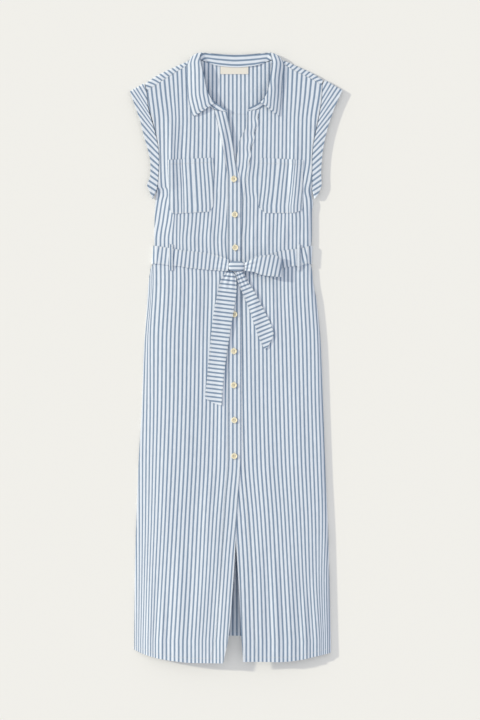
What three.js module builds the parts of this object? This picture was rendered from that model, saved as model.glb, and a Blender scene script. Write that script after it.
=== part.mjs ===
// Midi shirt dress in striped cotton, open at the neck and tied at the waist, laid flat on its back.
// Millimetres. X runs to the viewer's right, Y towards the collar and Z up from the surface.
// Right and left are the wearer's, so the right front lies on the viewer's left, at negative X.
// Every cloth piece is a wall: a grid of points on the middle of the cloth, given its thickness.
import * as THREE from "three";

const CLOTH = 1.2;
const BELT_CLOTH = 1.5;
const STRIP_CLOTH = 1;
const SEAM_GAP = 0.3;
const LAYER = CLOTH + SEAM_GAP;
const YOKE_SEAM_Y = 521;
const UNDERARM_Y = 356;
const HEM_Y = -655;
const SHOULDER_LEVEL = 633;
const BUTTON_RADIUS = 6.4;
const BUTTON_HEIGHT = 2.4;
const BUTTON_SEGMENTS = 12;

const COLOURS = {
  stripe: 0xb4c4da,
  button: 0xe6d8b4,
  label: 0xf0eae0,
};

// A table's rows as objects, with the names of its columns in one string.
function table(names, rows) {
  const columns = names.split(" ");
  return rows.map((row) => Object.fromEntries(columns.map((name, i) => [name, row[i]])));
}

const mix = (a, b, t) => a + (b - a) * t;
const clamp01 = (t) => Math.min(1, Math.max(0, t));
const ease = (t) => clamp01(t) ** 2 * (3 - 2 * clamp01(t));

// The slope of a column at one row: the mean of its neighbours' slopes, and flat at a turning point.
function slopeAt(rows, key, column, i) {
  const slope = (k) => (rows[k + 1][column] - rows[k][column]) / (rows[k + 1][key] - rows[k][key]);
  if (i === 0) return slope(0);
  if (i === rows.length - 1) return slope(i - 1);
  const [before, after] = [slope(i - 1), slope(i)];
  return before * after <= 0 ? 0 : (2 * before * after) / (before + after);
}

// Reads a column at any value of the key column, on a smooth curve through the rows.
function read(rows, key, column, at) {
  const last = rows.length - 1;
  if (at <= rows[0][key]) return rows[0][column];
  if (at >= rows[last][key]) return rows[last][column];
  const i = rows.findIndex((row, k) => k < last && at < rows[k + 1][key]);
  const span = rows[i + 1][key] - rows[i][key];
  const t = (at - rows[i][key]) / span;
  const [t2, t3] = [t * t, t * t * t];
  return rows[i][column] * (2 * t3 - 3 * t2 + 1)
    + rows[i + 1][column] * (3 * t2 - 2 * t3)
    + slopeAt(rows, key, column, i) * span * (t3 - 2 * t2 + t)
    + slopeAt(rows, key, column, i + 1) * span * (t3 - t2);
}

// Side edges from the hem to the underarm, then the armhole seams up to the shoulder fold.
const EDGE = {
  right: table("y x", [[-629, -219], [-480, -218], [-339, -214], [-232, -210], [-114, -203], [0, -199],
    [90, -193], [160, -188], [188, -184], [203, -178], [236, -175.5], [260, -176], [328, -174],
    [356, -170], [377, -167], [428, -165], [458, -168], [498, -178], [539, -189], [570, -192], [587, -197]]),
  left: table("y x", [[-635, 203], [-500, 200], [-372, 197], [-264, 192], [-125, 187], [14, 182],
    [115, 173], [160, 165], [188, 162], [203, 158.5], [236, 160.5], [260, 162], [310, 162],
    [330, 165], [345, 162], [425, 162], [451, 164], [483, 170], [517, 177], [558, 183], [583, 184],
    [594, 190]]),
};

// Open edges of the sleeves, from the underarm tip to the shoulder tip.
const SLEEVE_EDGE = {
  right: table("y x", [[339, -180], [353, -185], [369, -191], [386, -185], [398, -184], [416, -184],
    [433, -187], [482, -200], [503, -205], [529, -214], [549, -221], [570, -228]]),
  left: table("y x", [[339, 168], [346, 174], [371, 183], [390, 182], [416, 183], [437, 185], [466, 190],
    [494, 197], [535, 211], [572, 228]]),
};

// Seams between each front and its placket, and the plackets' free edges down the front.
const PLACKET_SEAM = {
  right: table("y x", [[-655, -57], [-601, -46], [-500, -37], [-389, -30], [-314, -26], [-213, -19],
    [358, -19], [383, -19], [439, -27], [486, -37], [529, -47]]),
  left: table("y x", [[-652, 45], [-590, 40], [-535, 37], [-389, 28], [-213, 17], [-136, 14], [304, 14],
    [336, 16], [383, 23], [422, 29], [461, 36], [497, 45], [531, 50]]),
};
const PLACKET_EDGE = {
  right: table("y x", [[-654, -28], [-601, -17], [-500, -8], [-389, -1], [-314, 3], [-258, 7],
    [-213, 10], [367, 10], [390, 6], [415, -1], [442, -6], [477, -10], [514, -17], [525, -20]]),
  left: table("y x", [[-650, 14.5], [-590, 10.5], [-535, 8], [-389, -1], [-213, -12], [-136, -16], [304, -16],
    [347, -13], [379, -7], [411, -1], [439, 3], [463, 7], [480, 14], [496, 21], [526, 22]]),
};

// The neckline seam round the neck, from the right front's end (-1) by the centre back (0) to the left.
const NECKLINE = table("c x y z", [[-1, -21, 524.5, 9], [-0.94, -45, 529, 9], [-0.86, -64, 541, 7.8],
  [-0.75, -79, 557, 7.5], [-0.62, -89, 584, 7.5], [-0.5, -92, 612, 7.5], [-0.4, -90, 633, 7.2],
  [-0.34, -78, 635.5, 5.2], [-0.28, -64, 632, 3.6], [-0.15, -35, 626, 2.3], [0, 0, 623, 2.1],
  [0.15, 35, 626, 2.3], [0.28, 64, 632, 3.6], [0.34, 77, 635.8, 5.4], [0.4, 89, 633.5, 7.2],
  [0.5, 92, 612, 7.5], [0.62, 89, 584, 7.5], [0.75, 80, 557, 7.5], [0.86, 67, 542, 7.5],
  [0.94, 49, 531, 7.5], [1, 24, 527, 7.5]]);
const NECK_SIDE = {
  right: NECKLINE.filter((row) => row.c <= -0.4 && row.c >= -0.94),
  left: NECKLINE.filter((row) => row.c >= 0.4 && row.c <= 0.94).reverse(),
};

// The collar: its fold, where stand and leaf join, and the leaf's bend and outer edge.
const COLLAR = table("c foldX foldY foldZ bendX bendY bendZ edgeX edgeY edgeZ", [
  [-1, -21, 529.5, 12, -21, 529.5, 12, -21, 529.5, 12],
  [-0.94, -32, 536, 12, -40, 532, 14, -60, 526, 11],
  [-0.88, -45, 545, 12.5, -58, 535, 15, -90, 516, 9.4],
  [-0.78, -55, 557, 13.2, -68, 549, 16, -98, 534, 9.4],
  [-0.65, -63, 574, 13.6, -76, 570, 16.5, -103.5, 562, 9.4],
  [-0.52, -68, 600, 13.6, -81, 600, 16.5, -105, 600, 9.4],
  [-0.42, -75, 628, 12, -88, 633, 14, -105, 623, 9],
  [-0.35, -77, 643, 9.4, -91, 650, 10, -99.5, 638, 9],
  [-0.31, -75, 648.5, 8, -86, 656, 5.5, -95, 641.5, 1],
  [-0.26, -70, 651, 6.6, -78, 658, 1.5, -88, 631, 0.6],
  [-0.15, -42, 649, 5.4, -46, 655, 0.2, -56, 610, 0.6],
  [0, 0, 647, 5, 0, 653, 0, 0, 604, 0.6],
  [0.15, 40, 649, 5.4, 44, 655, 0.2, 54, 610, 0.6],
  [0.26, 69, 651, 6.6, 76.5, 658, 1.5, 87, 631, 0.6],
  [0.31, 73, 648, 8.5, 83.5, 655, 5.5, 93.5, 641, 1],
  [0.35, 75, 643.5, 10, 88, 649, 10.5, 97, 638, 9],
  [0.42, 77, 628, 13, 89, 631, 16, 102, 624, 9],
  [0.52, 73, 602, 14.5, 85, 601, 18, 99.5, 600, 9.4],
  [0.65, 69, 577, 14.5, 81, 573, 17.5, 97, 562, 9.4],
  [0.78, 62, 559, 13.8, 74, 551, 16.5, 95, 536, 9.4],
  [0.88, 51, 546, 12.8, 64, 536, 15, 91, 516, 9.4],
  [0.94, 41, 540, 11, 48, 534, 13, 60, 526, 11],
  [1, 26, 533, 10, 26, 533, 10, 26, 533, 10],
]);
const LEAF_END = 0.88;

// The back yoke from the right armhole to the left: its seam with the back, its fold over the shoulder,
// its end at the forward shoulder seam or at the neckline, how far it folds over, and its lower height.
const YOKE = table("seamX foldX foldY endX endY endZ wrap low", [
  [-183, -195.5, 586, -191.5, 570.3, 7.5, 1, 0.6],
  [-162, -172, 602, -167, 587, 7.5, 1, 0.6],
  [-134, -140, 618, -137, 606, 7.5, 1, 0.9],
  [-108, -113, 630, -111, 622, 7.5, 1, 2.4],
  [-88, -95, 637, -90, 633.3, 7.2, 1, 2.6],
  [-74, -80, 637.5, -78, 635.5, 5.2, 0.5, 2.1],
  [-58, -64, 634, -64, 632, 3.6, 0, 2.1],
  [-32, -35, 627, -35, 626, 2.3, 0, 2.1],
  [0, 0, 624, 0, 623, 2.1, 0, 2.1],
  [32, 35, 627, 35, 626, 2.3, 0, 2.1],
  [58, 64, 634, 64, 632, 3.6, 0, 2.1],
  [74, 80, 637.5, 78, 635.5, 5.2, 0.5, 2.1],
  [88, 95, 637, 90, 633.3, 7.2, 1, 2.6],
  [108, 113, 631, 111, 622, 7.5, 1, 2.4],
  [132, 140, 619, 136, 608, 7.5, 1, 0.9],
  [156, 166, 607, 162, 596, 7.5, 1, 0.6],
  [176.5, 185.8, 593.5, 183, 583.3, 7.5, 1, 0.6],
]);

// The hem seen from above, and the height of the front cloth with the width that rounds to each side.
const FRONT_HEM = {
  right: table("x y", [[-219, -629], [-202, -637], [-165, -647], [-128, -652], [-91, -655], [-57, -655]]),
  left: table("x y", [[45, -652], [94, -653], [131, -650], [167, -643], [203, -635]]),
};
const BACK_HEM = table("x y", [[-219, -629], [-164, -616], [-99, -605], [-24, -599], [51, -602],
  [115, -610], [169, -623], [203, -635]]);
const LOFT = table("y height round", [[-655, 26, 50], [-560, 22, 44], [-450, 17, 34], [-330, 12.5, 24],
  [-200, 9.5, 16], [0, 8.5, 12], [210, 8.5, 12], [356, 8, 10], [520, 7.5, 10], [640, 7.5, 10]]);

// The largest folds of the fronts, each a soft ridge along a straight line.
const FOLDS = table("x0 y0 x1 y1 width height", [
  [-133, 515, -129, 262, 14, 4.5],
  [128, 500, 127, 262, 14, 4.5],
  [-30, 520, -24, 400, 7, 2.5],
  [-60, -250, -66, -560, 12, 2],
  [-34, -480, -44, -640, 7, 3],
  [-184, -470, -190, -690, 8, 3.5],
  [-158, -500, -163, -690, 7, 3],
  [170, -470, 176, -690, 8, 3.5],
  [146, -500, 149, -690, 7, 3],
  [80, -420, 90, -690, 10, 2.5],
]);

const FRONT_LEVELS = [-655, -640, -605, -565, -525, -485, -440, -395, -350, -305, -260, -213, -165, -110,
  -50, 10, 70, 120, 169, 182, 191, 203, 217, 239, 251, 264, 300, 330, 356, 380, 410, 440, 470, 500, 529, 541,
  557, 584, 612, 633];
const FRONT_COLUMNS = [0, 0.012, 0.04, 0.08, 0.14, 0.21, 0.28, 0.35, 0.42, 0.5, 0.58, 0.66, 0.74, 0.82,
  0.9, 0.95, 1];
const BACK_LEVELS = [521, 498, 477, 452, 428, 400, 377, 356, 340, 310, 264, 251, 239, 217, 203, 195, 182,
  169, 120, 40, -60, -170, -290, -410, -520, -600];
const BELT_BACK = { top: 238, bottom: 195, ramp: 26 };
const FOLD_FADE = 0.6;
const FOOT = { clear: 0.4, from: UNDERARM_Y - 4, length: 20 };
const PLACKET_RAMP = 24;

// How far the back panel is lifted by the belt that lies beneath it.
function beltLift(y) {
  const above = ease((BELT_BACK.top + BELT_BACK.ramp - y) / BELT_BACK.ramp);
  const below = ease((y - BELT_BACK.bottom + BELT_BACK.ramp) / BELT_BACK.ramp);
  return (BELT_CLOTH + SEAM_GAP) * Math.min(above, below);
}

const backHeight = (y) => CLOTH / 2 + beltLift(y);

// The height of one soft ridge: a bell across its line, fading to both ends.
function ridge(fold, x, y) {
  const t = (y - fold.y0) / (fold.y1 - fold.y0);
  if (t <= 0 || t >= 1) return 0;
  const across = (x - mix(fold.x0, fold.x1, t)) / fold.width;
  return fold.height * Math.exp(-across * across) * Math.sin(Math.PI * t) ** FOLD_FADE;
}

// The middle of the front cloth over any point. It rounds down on an ellipse to the side seam.
function frontHeight(x, y) {
  const edge = read(x < 0 ? EDGE.right : EDGE.left, "y", "x", y);
  const inside = Math.max(0, Math.abs(edge) - Math.abs(x));
  const round = read(LOFT, "y", "round", y);
  const top = read(LOFT, "y", "height", y) + FOLDS.reduce((sum, fold) => sum + ridge(fold, x, y), 0);
  const low = backHeight(y) + LAYER - CLOTH / 2 + FOOT.clear;
  const foot = mix(low, top, ease((y - FOOT.from) / FOOT.length));
  return mix(foot, top, Math.sqrt(1 - (1 - Math.min(1, inside / round)) ** 2));
}

// The top placket lies on the lower one, so what lies beside it or over it rises by one layer.
function placketRise(x, y) {
  const seam = read(PLACKET_SEAM.right, "y", "x", y);
  const edge = read(PLACKET_EDGE.right, "y", "x", y);
  return LAYER * ease(1 - Math.max(seam - x, x - edge, 0) / PLACKET_RAMP);
}

// A closed wall from a grid of points on the middle of its cloth, rows by columns.
// Rows may close into a ring, as round a sleeve.
function wall(grid, thickness, ring = false) {
  const rows = grid.length;
  const columns = grid[0].length;
  const at = (i, j) => grid[ring ? (i + rows) % rows : Math.min(rows - 1, Math.max(0, i))][
    Math.min(columns - 1, Math.max(0, j))];
  const outer = [];
  const inner = [];
  for (let i = 0; i < rows; i += 1) {
    for (let j = 0; j < columns; j += 1) {
      const along = at(i + 1, j).clone().sub(at(i - 1, j));
      const across = at(i, j + 1).clone().sub(at(i, j - 1));
      const normal = across.cross(along).normalize().multiplyScalar(thickness / 2);
      outer.push(grid[i][j].clone().add(normal));
      inner.push(grid[i][j].clone().sub(normal));
    }
  }
  const index = [];
  const quad = (a, b, c, d) => index.push(a, b, c, a, c, d);
  const count = outer.length;
  const id = (i, j) => ((i + rows) % rows) * columns + j;
  const last = ring ? rows : rows - 1;
  for (let i = 0; i < last; i += 1) {
    for (let j = 0; j < columns - 1; j += 1) {
      quad(id(i, j), id(i, j + 1), id(i + 1, j + 1), id(i + 1, j));
      quad(count + id(i, j), count + id(i + 1, j), count + id(i + 1, j + 1), count + id(i, j + 1));
    }
    quad(id(i, 0), id(i + 1, 0), count + id(i + 1, 0), count + id(i, 0));
    const [here, next] = [id(i, columns - 1), id(i + 1, columns - 1)];
    quad(next, here, count + here, count + next);
  }
  if (!ring) {
    for (let j = 0; j < columns - 1; j += 1) {
      quad(id(0, j + 1), id(0, j), count + id(0, j), count + id(0, j + 1));
      quad(id(rows - 1, j), id(rows - 1, j + 1), count + id(rows - 1, j + 1), count + id(rows - 1, j));
    }
  }
  const geometry = new THREE.BufferGeometry();
  const positions = [...outer, ...inner].flatMap((p) => [p.x, p.y, p.z]);
  geometry.setAttribute("position", new THREE.Float32BufferAttribute(positions, 3));
  geometry.setIndex(index);
  geometry.computeVertexNormals();
  return geometry;
}

const CLOTH_ROUGHNESS = 0.9;

function piece(name, geometry, colour = COLOURS.stripe, roughness = CLOTH_ROUGHNESS) {
  const material = new THREE.MeshStandardMaterial({ color: colour, roughness, metalness: 0 });
  const mesh = new THREE.Mesh(geometry, material);
  mesh.name = name;
  return mesh;
}

const dress = new THREE.Group();
const point = (x, y, z) => new THREE.Vector3(x, y, z);

const BACK_COLUMNS = 12;

// The back: flat on the surface, lifted only over the belt.
function backGrid() {
  const top = YOKE_SEAM_Y - SEAM_GAP;
  const bottom = BACK_LEVELS[BACK_LEVELS.length - 1];
  const steps = Array.from({ length: BACK_COLUMNS + 1 }, (_, j) => j / BACK_COLUMNS);
  return BACK_LEVELS.map((level) => steps.map((s) => {
    const rough = mix(EDGE.right[0].x, EDGE.left[0].x, s);
    const t = Math.max(0, top - level) / (top - bottom);
    const y = mix(top, read(BACK_HEM, "x", "y", rough), t);
    const x = mix(read(EDGE.right, "y", "x", y), read(EDGE.left, "y", "x", y), s);
    return point(x, y, backHeight(y));
  }));
}

// Places round the shoulder fold: how far back towards the seam and how far up, in radii of the fold.
// Beside the neck, where the yoke isn't folded, they lie at shares of the way to its end.
const YOKE_FOLD = table("back up plain", [[1, 0, 0.8], [0.25, 0.35, 0.86], [0, 1, 0.92], [0.25, 1.65, 0.96]]);
const YOKE_FORM = { middle: 0.4, leastTop: 7, rise: 8, across: 28, steps: 13, crowding: 1.6 };

// The yoke: its columns run up the back, round the shoulder fold and down to the forward seam.
function yokeColumn(row) {
  const seam = point(row.seamX, YOKE_SEAM_Y, CLOTH / 2);
  const fold = point(row.foldX, row.foldY, row.low);
  const end = point(row.endX, row.endY, row.endZ);
  const radius = (Math.max(row.endZ, YOKE_FORM.leastTop) - row.low) / 2;
  const back = fold.clone().sub(seam).setZ(0).normalize().multiplyScalar(-radius);
  const turn = YOKE_FOLD.map((place) => {
    const folded = fold.clone().addScaledVector(back, place.back).setZ(row.low + radius * place.up);
    const height = mix(row.low, row.endZ, place.plain ** YOKE_FORM.rise);
    return seam.clone().lerp(end, place.plain).setZ(height).lerp(folded, row.wrap);
  });
  const middle = seam.clone().lerp(fold, YOKE_FORM.middle).setZ(CLOTH / 2);
  return new THREE.CatmullRomCurve3([seam, middle, ...turn, end], false, "centripetal");
}

function yokeGrid() {
  const rows = YOKE.map((row, i) => ({ ...row, i }));
  const names = Object.keys(YOKE[0]);
  const { across, steps, crowding } = YOKE_FORM;
  return Array.from({ length: across + 1 }, (_, k) => {
    const at = (k / across) * (YOKE.length - 1);
    const row = Object.fromEntries(names.map((name) => [name, read(rows, "i", name, at)]));
    const curve = yokeColumn(row);
    return Array.from({ length: steps + 1 }, (_, j) => {
      const place = curve.getPointAt(1 - (1 - j / steps) ** crowding);
      return place.setZ(Math.max(place.z, CLOTH / 2));
    });
  });
}

// Where the hem's curve bends the rows below, and the shoulder seam's those above.
const HEM_BEND = { from: -280, length: 375 };
const SHOULDER_BEND = { from: 470, length: 163 };

// A front, ruled between its side edge and its placket seam or neckline, from the hem to the shoulder.
function frontPoint(side, level, s) {
  const above = clamp01((level - UNDERARM_Y) / (SHOULDER_LEVEL - UNDERARM_Y));
  const shoulder = YOKE.filter((row) => row.wrap === 1 && (side === "right" ? row.endX < 0 : row.endX > 0));
  const armholeTop = side === "right" ? shoulder[0].endY : shoulder[shoulder.length - 1].endY;
  const outY = level <= UNDERARM_Y ? level : mix(UNDERARM_Y, armholeTop - SEAM_GAP, above);
  const neckY = Math.min(level, SHOULDER_LEVEL);
  const seam = PLACKET_SEAM[side];
  const neckSide = NECK_SIDE[side];
  const seamTop = seam[seam.length - 1].y;
  const gap = side === "right" ? -SEAM_GAP : SEAM_GAP;
  const inX = neckY <= seamTop ? read(seam, "y", "x", neckY) : read(neckSide, "y", "x", neckY);
  const outX = read(EDGE[side], "y", "x", outY);
  const x = mix(outX, inX + gap, s);
  let y = mix(outY, neckY, s);
  const hem = read(FRONT_HEM[side], "x", "y", x);
  y += (hem - HEM_Y) * ease((HEM_BEND.from - level) / HEM_BEND.length);
  const straight = mix(armholeTop, SHOULDER_LEVEL + SEAM_GAP, s);
  const bend = ease((level - SHOULDER_BEND.from) / SHOULDER_BEND.length);
  y += (read(shoulder, "endX", "endY", x) - straight) * bend;
  const rise = side === "right" ? placketRise(x, y) : 0;
  return point(x, y, frontHeight(x, y) + rise);
}

const frontGrid = (side) => FRONT_LEVELS.map((level) => {
  const steps = side === "right" ? FRONT_COLUMNS : FRONT_COLUMNS.map((s) => 1 - s).reverse();
  return steps.map((s) => frontPoint(side, level, side === "right" ? s : 1 - s));
}).reverse();

// The plackets' rows end short of their slanting tops, which bend the last rows.
const PLACKET_TOP = { rowsBelow: 515, bendFrom: 440 };

// A placket between its seam and its free edge, raised one layer where it lies on top.
function placketGrid(side) {
  const raise = side === "right" ? LAYER : 0;
  const seamTop = PLACKET_SEAM[side][PLACKET_SEAM[side].length - 1];
  const edgeTop = PLACKET_EDGE[side][PLACKET_EDGE[side].length - 1];
  const levels = FRONT_LEVELS.filter((level) => level < PLACKET_TOP.rowsBelow).concat(seamTop.y);
  const rows = levels.map((level) => [0, 0.5, 1].map((s) => {
    const seamX = read(PLACKET_SEAM[side], "y", "x", level);
    const edgeX = read(PLACKET_EDGE[side], "y", "x", level);
    const x = mix(seamX, edgeX, s);
    const slant = ease((level - PLACKET_TOP.bendFrom) / (seamTop.y - PLACKET_TOP.bendFrom));
    const hem = read(FRONT_HEM[side], "x", "y", x) - HEM_Y;
    const y = level + (edgeTop.y - seamTop.y) * s * slant
      + hem * ease((HEM_BEND.from - level) / HEM_BEND.length);
    return point(x, y, frontHeight(x, y) + raise);
  }));
  return side === "right" ? rows.reverse() : rows;
}

// A cap sleeve: a flattened tube from the armhole out to its open edge. Its ring starts at the shoulder
// fold, runs down the front, turns under at the underarm and comes back up behind.
const SLEEVE = { armHeight: 7.5, openHeight: 7, clear: SEAM_GAP + 0.8, tuck: 2, runs: 16, turns: 5 };
const SLEEVE_COLUMNS = [0, 0.33, 0.66, 1];

function sleeveGrid(side) {
  const arm = EDGE[side];
  const open = SLEEVE_EDGE[side];
  const armTop = arm[arm.length - 1].y;
  const armBottom = UNDERARM_Y + SLEEVE.tuck;
  const openTop = open[open.length - 1].y;
  const openBottom = open[0].y;
  const clear = side === "right" ? -SLEEVE.clear : SLEEVE.clear;
  const { runs, turns } = SLEEVE;
  const down = Array.from({ length: runs + 1 }, (_, k) => ({ run: k / runs, turn: Math.PI / 2 }));
  const angles = Array.from({ length: turns - 1 }, (_, k) => Math.PI / 2 - (Math.PI * (k + 1)) / turns);
  const under = angles.map((turn) => ({ run: 1, turn }));
  const up = down.map((step) => ({ run: 1 - step.run, turn: -Math.PI / 2 }));
  const over = angles.map((turn) => ({ run: 0, turn: -turn }));
  const ring = [...down, ...under, ...up, ...over];
  const grid = ring.map((step) => SLEEVE_COLUMNS.map((s) => {
    const radius = (mix(SLEEVE.armHeight, SLEEVE.openHeight, s) - CLOTH / 2) / 2;
    const top = mix(armTop, openTop, s);
    const bottom = mix(armBottom, openBottom, s);
    const reach = radius * Math.cos(step.turn) * (step.run === 1 ? -1 : 1);
    const y = mix(top - radius, bottom + radius, step.run) + reach;
    const share = (top - y) / (top - bottom);
    const armX = read(arm, "y", "x", mix(armTop, armBottom, share)) + clear;
    const x = mix(armX, read(open, "y", "x", mix(openTop, openBottom, share)), s);
    return point(x, y, CLOTH / 2 + radius + radius * Math.sin(step.turn));
  }));
  return side === "right" ? grid.reverse() : grid;
}

// All columns of a table round the neck, read at one place.
function collarRow(rows, at) {
  return Object.fromEntries(Object.keys(rows[0]).map((name) => [name, read(rows, "c", name, at)]));
}

const STAND = { sections: 40, steps: [0, 0.33, 0.66, 1], clear: SEAM_GAP + CLOTH * 1.1, below: 0.2 };
const LEAF = {
  sections: 36, steps: [0, 0.1, 0.2, 0.32, 0.46, 0.64, 0.82, 1], clear: SEAM_GAP + CLOTH * 0.6, above: 0.9,
};

// The collar stand rises from the neckline to the fold.
function standGrid() {
  return Array.from({ length: STAND.sections + 1 }, (_, k) => {
    const c = mix(-1, 1, k / STAND.sections);
    const neck = collarRow(NECKLINE, c);
    const fold = collarRow(COLLAR, c);
    const base = point(neck.x, neck.y, neck.z);
    const top = point(fold.foldX, fold.foldY, fold.foldZ - STAND.below);
    const clear = top.clone().sub(base).normalize().multiplyScalar(STAND.clear);
    return STAND.steps.map((t) => base.clone().add(clear).lerp(top, t));
  }).reverse();
}

// The collar leaf turns over at the fold and lies outwards: on the fronts, and beneath the yoke behind.
function leafGrid() {
  return Array.from({ length: LEAF.sections + 1 }, (_, k) => {
    const c = mix(-LEAF_END, LEAF_END, k / LEAF.sections);
    const row = collarRow(COLLAR, c);
    const bend = point(row.bendX, row.bendY, row.bendZ);
    const fold = point(row.foldX, row.foldY, row.foldZ);
    const clear = bend.clone().sub(fold).normalize().multiplyScalar(LEAF.clear).setZ(LEAF.above);
    const edge = point(row.edgeX, row.edgeY, row.edgeZ);
    const curve = new THREE.QuadraticBezierCurve3(fold.add(clear), bend, edge);
    return LEAF.steps.map((t) => curve.getPoint(t));
  });
}

// A point above the fronts: the middle of their cloth, moved out along its own normal.
const risenHeight = (x, y) => frontHeight(x, y) + placketRise(x, y);
const SLOPE_STEP = 2;

function onFront(x, y, lift) {
  const slopeX = (risenHeight(x + SLOPE_STEP, y) - risenHeight(x - SLOPE_STEP, y)) / (2 * SLOPE_STEP);
  const slopeY = (risenHeight(x, y + SLOPE_STEP) - risenHeight(x, y - SLOPE_STEP)) / (2 * SLOPE_STEP);
  return point(-slopeX, -slopeY, 1).normalize().multiplyScalar(lift).add(point(x, y, risenHeight(x, y)));
}

// Patch pockets: rows up the pocket, each with its right and left corner as the viewer sees them.
const POCKETS = {
  right: table("y0 x0 y1 x1", [[306, -135, 311, -59], [320, -144, 324, -50], [362, -144.5, 364, -49],
    [402, -145.5, 405, -48.5], [422, -146, 427, -51]]),
  left: table("y0 x0 y1 x1", [[308, 62, 308, 124], [326, 47, 318, 142], [362, 48, 360, 142.3],
    [402, 49.5, 400, 142.8], [427, 51, 422, 143]]),
};
const POCKET_COLUMNS = 12;
const POCKET_ROWS = [0, 0.4, 1, 1.5, 2, 2.5, 3, 3.5, 4];
const POCKET_LIFT = LAYER + 0.3;

function pocketGrid(side) {
  const rows = POCKETS[side].map((row, i) => ({ ...row, i }));
  return POCKET_ROWS.map((at) => {
    const [y0, x0, y1, x1] = ["y0", "x0", "y1", "x1"].map((name) => read(rows, "i", name, at));
    const columns = Array.from({ length: POCKET_COLUMNS + 1 }, (_, j) => j / POCKET_COLUMNS);
    return columns.map((s) => onFront(mix(x0, x1, s), mix(y0, y1, s), POCKET_LIFT));
  }).reverse();
}

// A flat strip whose sections each give its two edges from above and its lift over the fronts' middle.
function stripOnFront(sections, columns = 3) {
  return sections.map((row) => Array.from({ length: columns + 1 }, (_, j) => {
    const s = j / columns;
    return onFront(mix(row.x0, row.x1, s), mix(row.y0, row.y1, s), row.lift);
  }));
}

const ON_CLOTH = CLOTH / 2 + SEAM_GAP + BELT_CLOTH / 2 + 0.15;
const BELT_STRETCH = {
  right: table("x0 y0 x1 y1 lift", [[-169.5, 238, -171.5, 199.5, ON_CLOTH + 0.4],
    [-160, 236, -161, 198, ON_CLOTH], [-142, 233, -142, 196, ON_CLOTH], [-125, 230, -125, 194, ON_CLOTH],
    [-100, 227, -100, 190, ON_CLOTH], [-70, 224, -70, 187, ON_CLOTH], [-46, 219, -46, 185, ON_CLOTH + 0.3],
    [-30, 214, -30, 184, ON_CLOTH + 1], [-16.6, 208, -16.6, 184, ON_CLOTH + 2.4]]),
  left: table("x0 y0 x1 y1 lift", [[17.6, 203, 17.6, 184.5, ON_CLOTH + 0.6],
    [30, 208, 30, 185, ON_CLOTH + 0.3], [45, 213, 45, 185.5, ON_CLOTH], [68, 220, 68, 187, ON_CLOTH],
    [96, 227, 96, 190, ON_CLOTH], [115, 230, 115, 193, ON_CLOTH], [127, 231, 127, 194.5, ON_CLOTH],
    [140, 233, 140, 196, ON_CLOTH], [154, 237, 151.5, 199.5, ON_CLOTH + 0.4]]),
};

// Where each side of the belt comes from beneath the back and turns up, out from the dress's edge.
const BELT_TURN = table("out z", [[-14, 0.75], [0.6, 0.75], [3, 2.6], [3.3, 5], [2, 8]]);
const BELT_EDGES = { top: BELT_BACK.top, bottom: BELT_BACK.bottom + 4.5 };
const BELT_COLUMNS = [0, 1 / 3, 2 / 3, 1];
const BELT_BACK_STEPS = 8;

function beltSideGrid(side) {
  const out = side === "right" ? -1 : 1;
  const turn = BELT_TURN.map((row) => BELT_COLUMNS.map((s) => {
    const y = mix(BELT_EDGES.top, BELT_EDGES.bottom, s);
    return point(read(EDGE[side], "y", "x", y) + out * row.out, y, row.z);
  }));
  const stretch = stripOnFront(BELT_STRETCH[side]);
  return side === "right" ? [...turn, ...stretch] : [...stretch, ...turn.reverse()];
}

function beltBackGrid() {
  return Array.from({ length: BELT_BACK_STEPS + 1 }, (_, k) => BELT_COLUMNS.map((s) => {
    const y = mix(BELT_EDGES.top, BELT_EDGES.bottom, s);
    const right = read(EDGE.right, "y", "x", y) - BELT_TURN[0].out + SEAM_GAP;
    const left = read(EDGE.left, "y", "x", y) + BELT_TURN[0].out - SEAM_GAP;
    return point(mix(right, left, k / BELT_BACK_STEPS), y, BELT_CLOTH / 2);
  }));
}

// The long tail passes over the fourth button and the edge of the fifth.
const TAILS = {
  long: table("x0 y0 x1 y1 lift", [[-22, 182, -5, 181, 5.4], [-32.5, 166, 0, 166, 4.9],
    [-39.5, 140, 0.5, 142, 4.8], [-46, 106, -4, 108, 4.7], [-51, 70, -9.5, 74, 4.6],
    [-57, 15, -15.5, 37, 2.6], [-61.5, -35, -24, -20, ON_CLOTH], [-66.5, -86, -29, -70, ON_CLOTH],
    [-50, -99, -31.5, -105, ON_CLOTH]]),
  short: table("x0 y0 x1 y1 lift", [[-2.6, 181, 14, 183, 5.4], [3.6, 160, 25, 163, 3.8],
    [11.5, 140, 37, 143, 2.4], [25, 108, 57, 105, ON_CLOTH], [39, 69, 77, 63, ON_CLOTH],
    [49, 39, 80, 47, ON_CLOTH], [60.5, 16, 67, 20, ON_CLOTH]]),
};

// The bow's loop: out over the right stretch, round its fold and back beneath to the knot.
const BOW_LOOP = table("x0 y0 x1 y1 lift", [[17.5, 186, 17.5, 198, 5.4], [32, 183, 30, 206, 4.4],
  [56, 178, 52, 214, 3.9], [84, 174, 82, 214, 4.2], [93, 172, 92.5, 211.5, 6], [96.5, 171, 96, 208, 8.4],
  [93, 170.5, 92.5, 212, 10.8], [82, 171, 80, 217.5, 12.4], [56, 174.5, 54, 216.5, 13],
  [34, 181.5, 32, 209, 12], [17.5, 184.5, 17.5, 200, 8.4]]);

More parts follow.
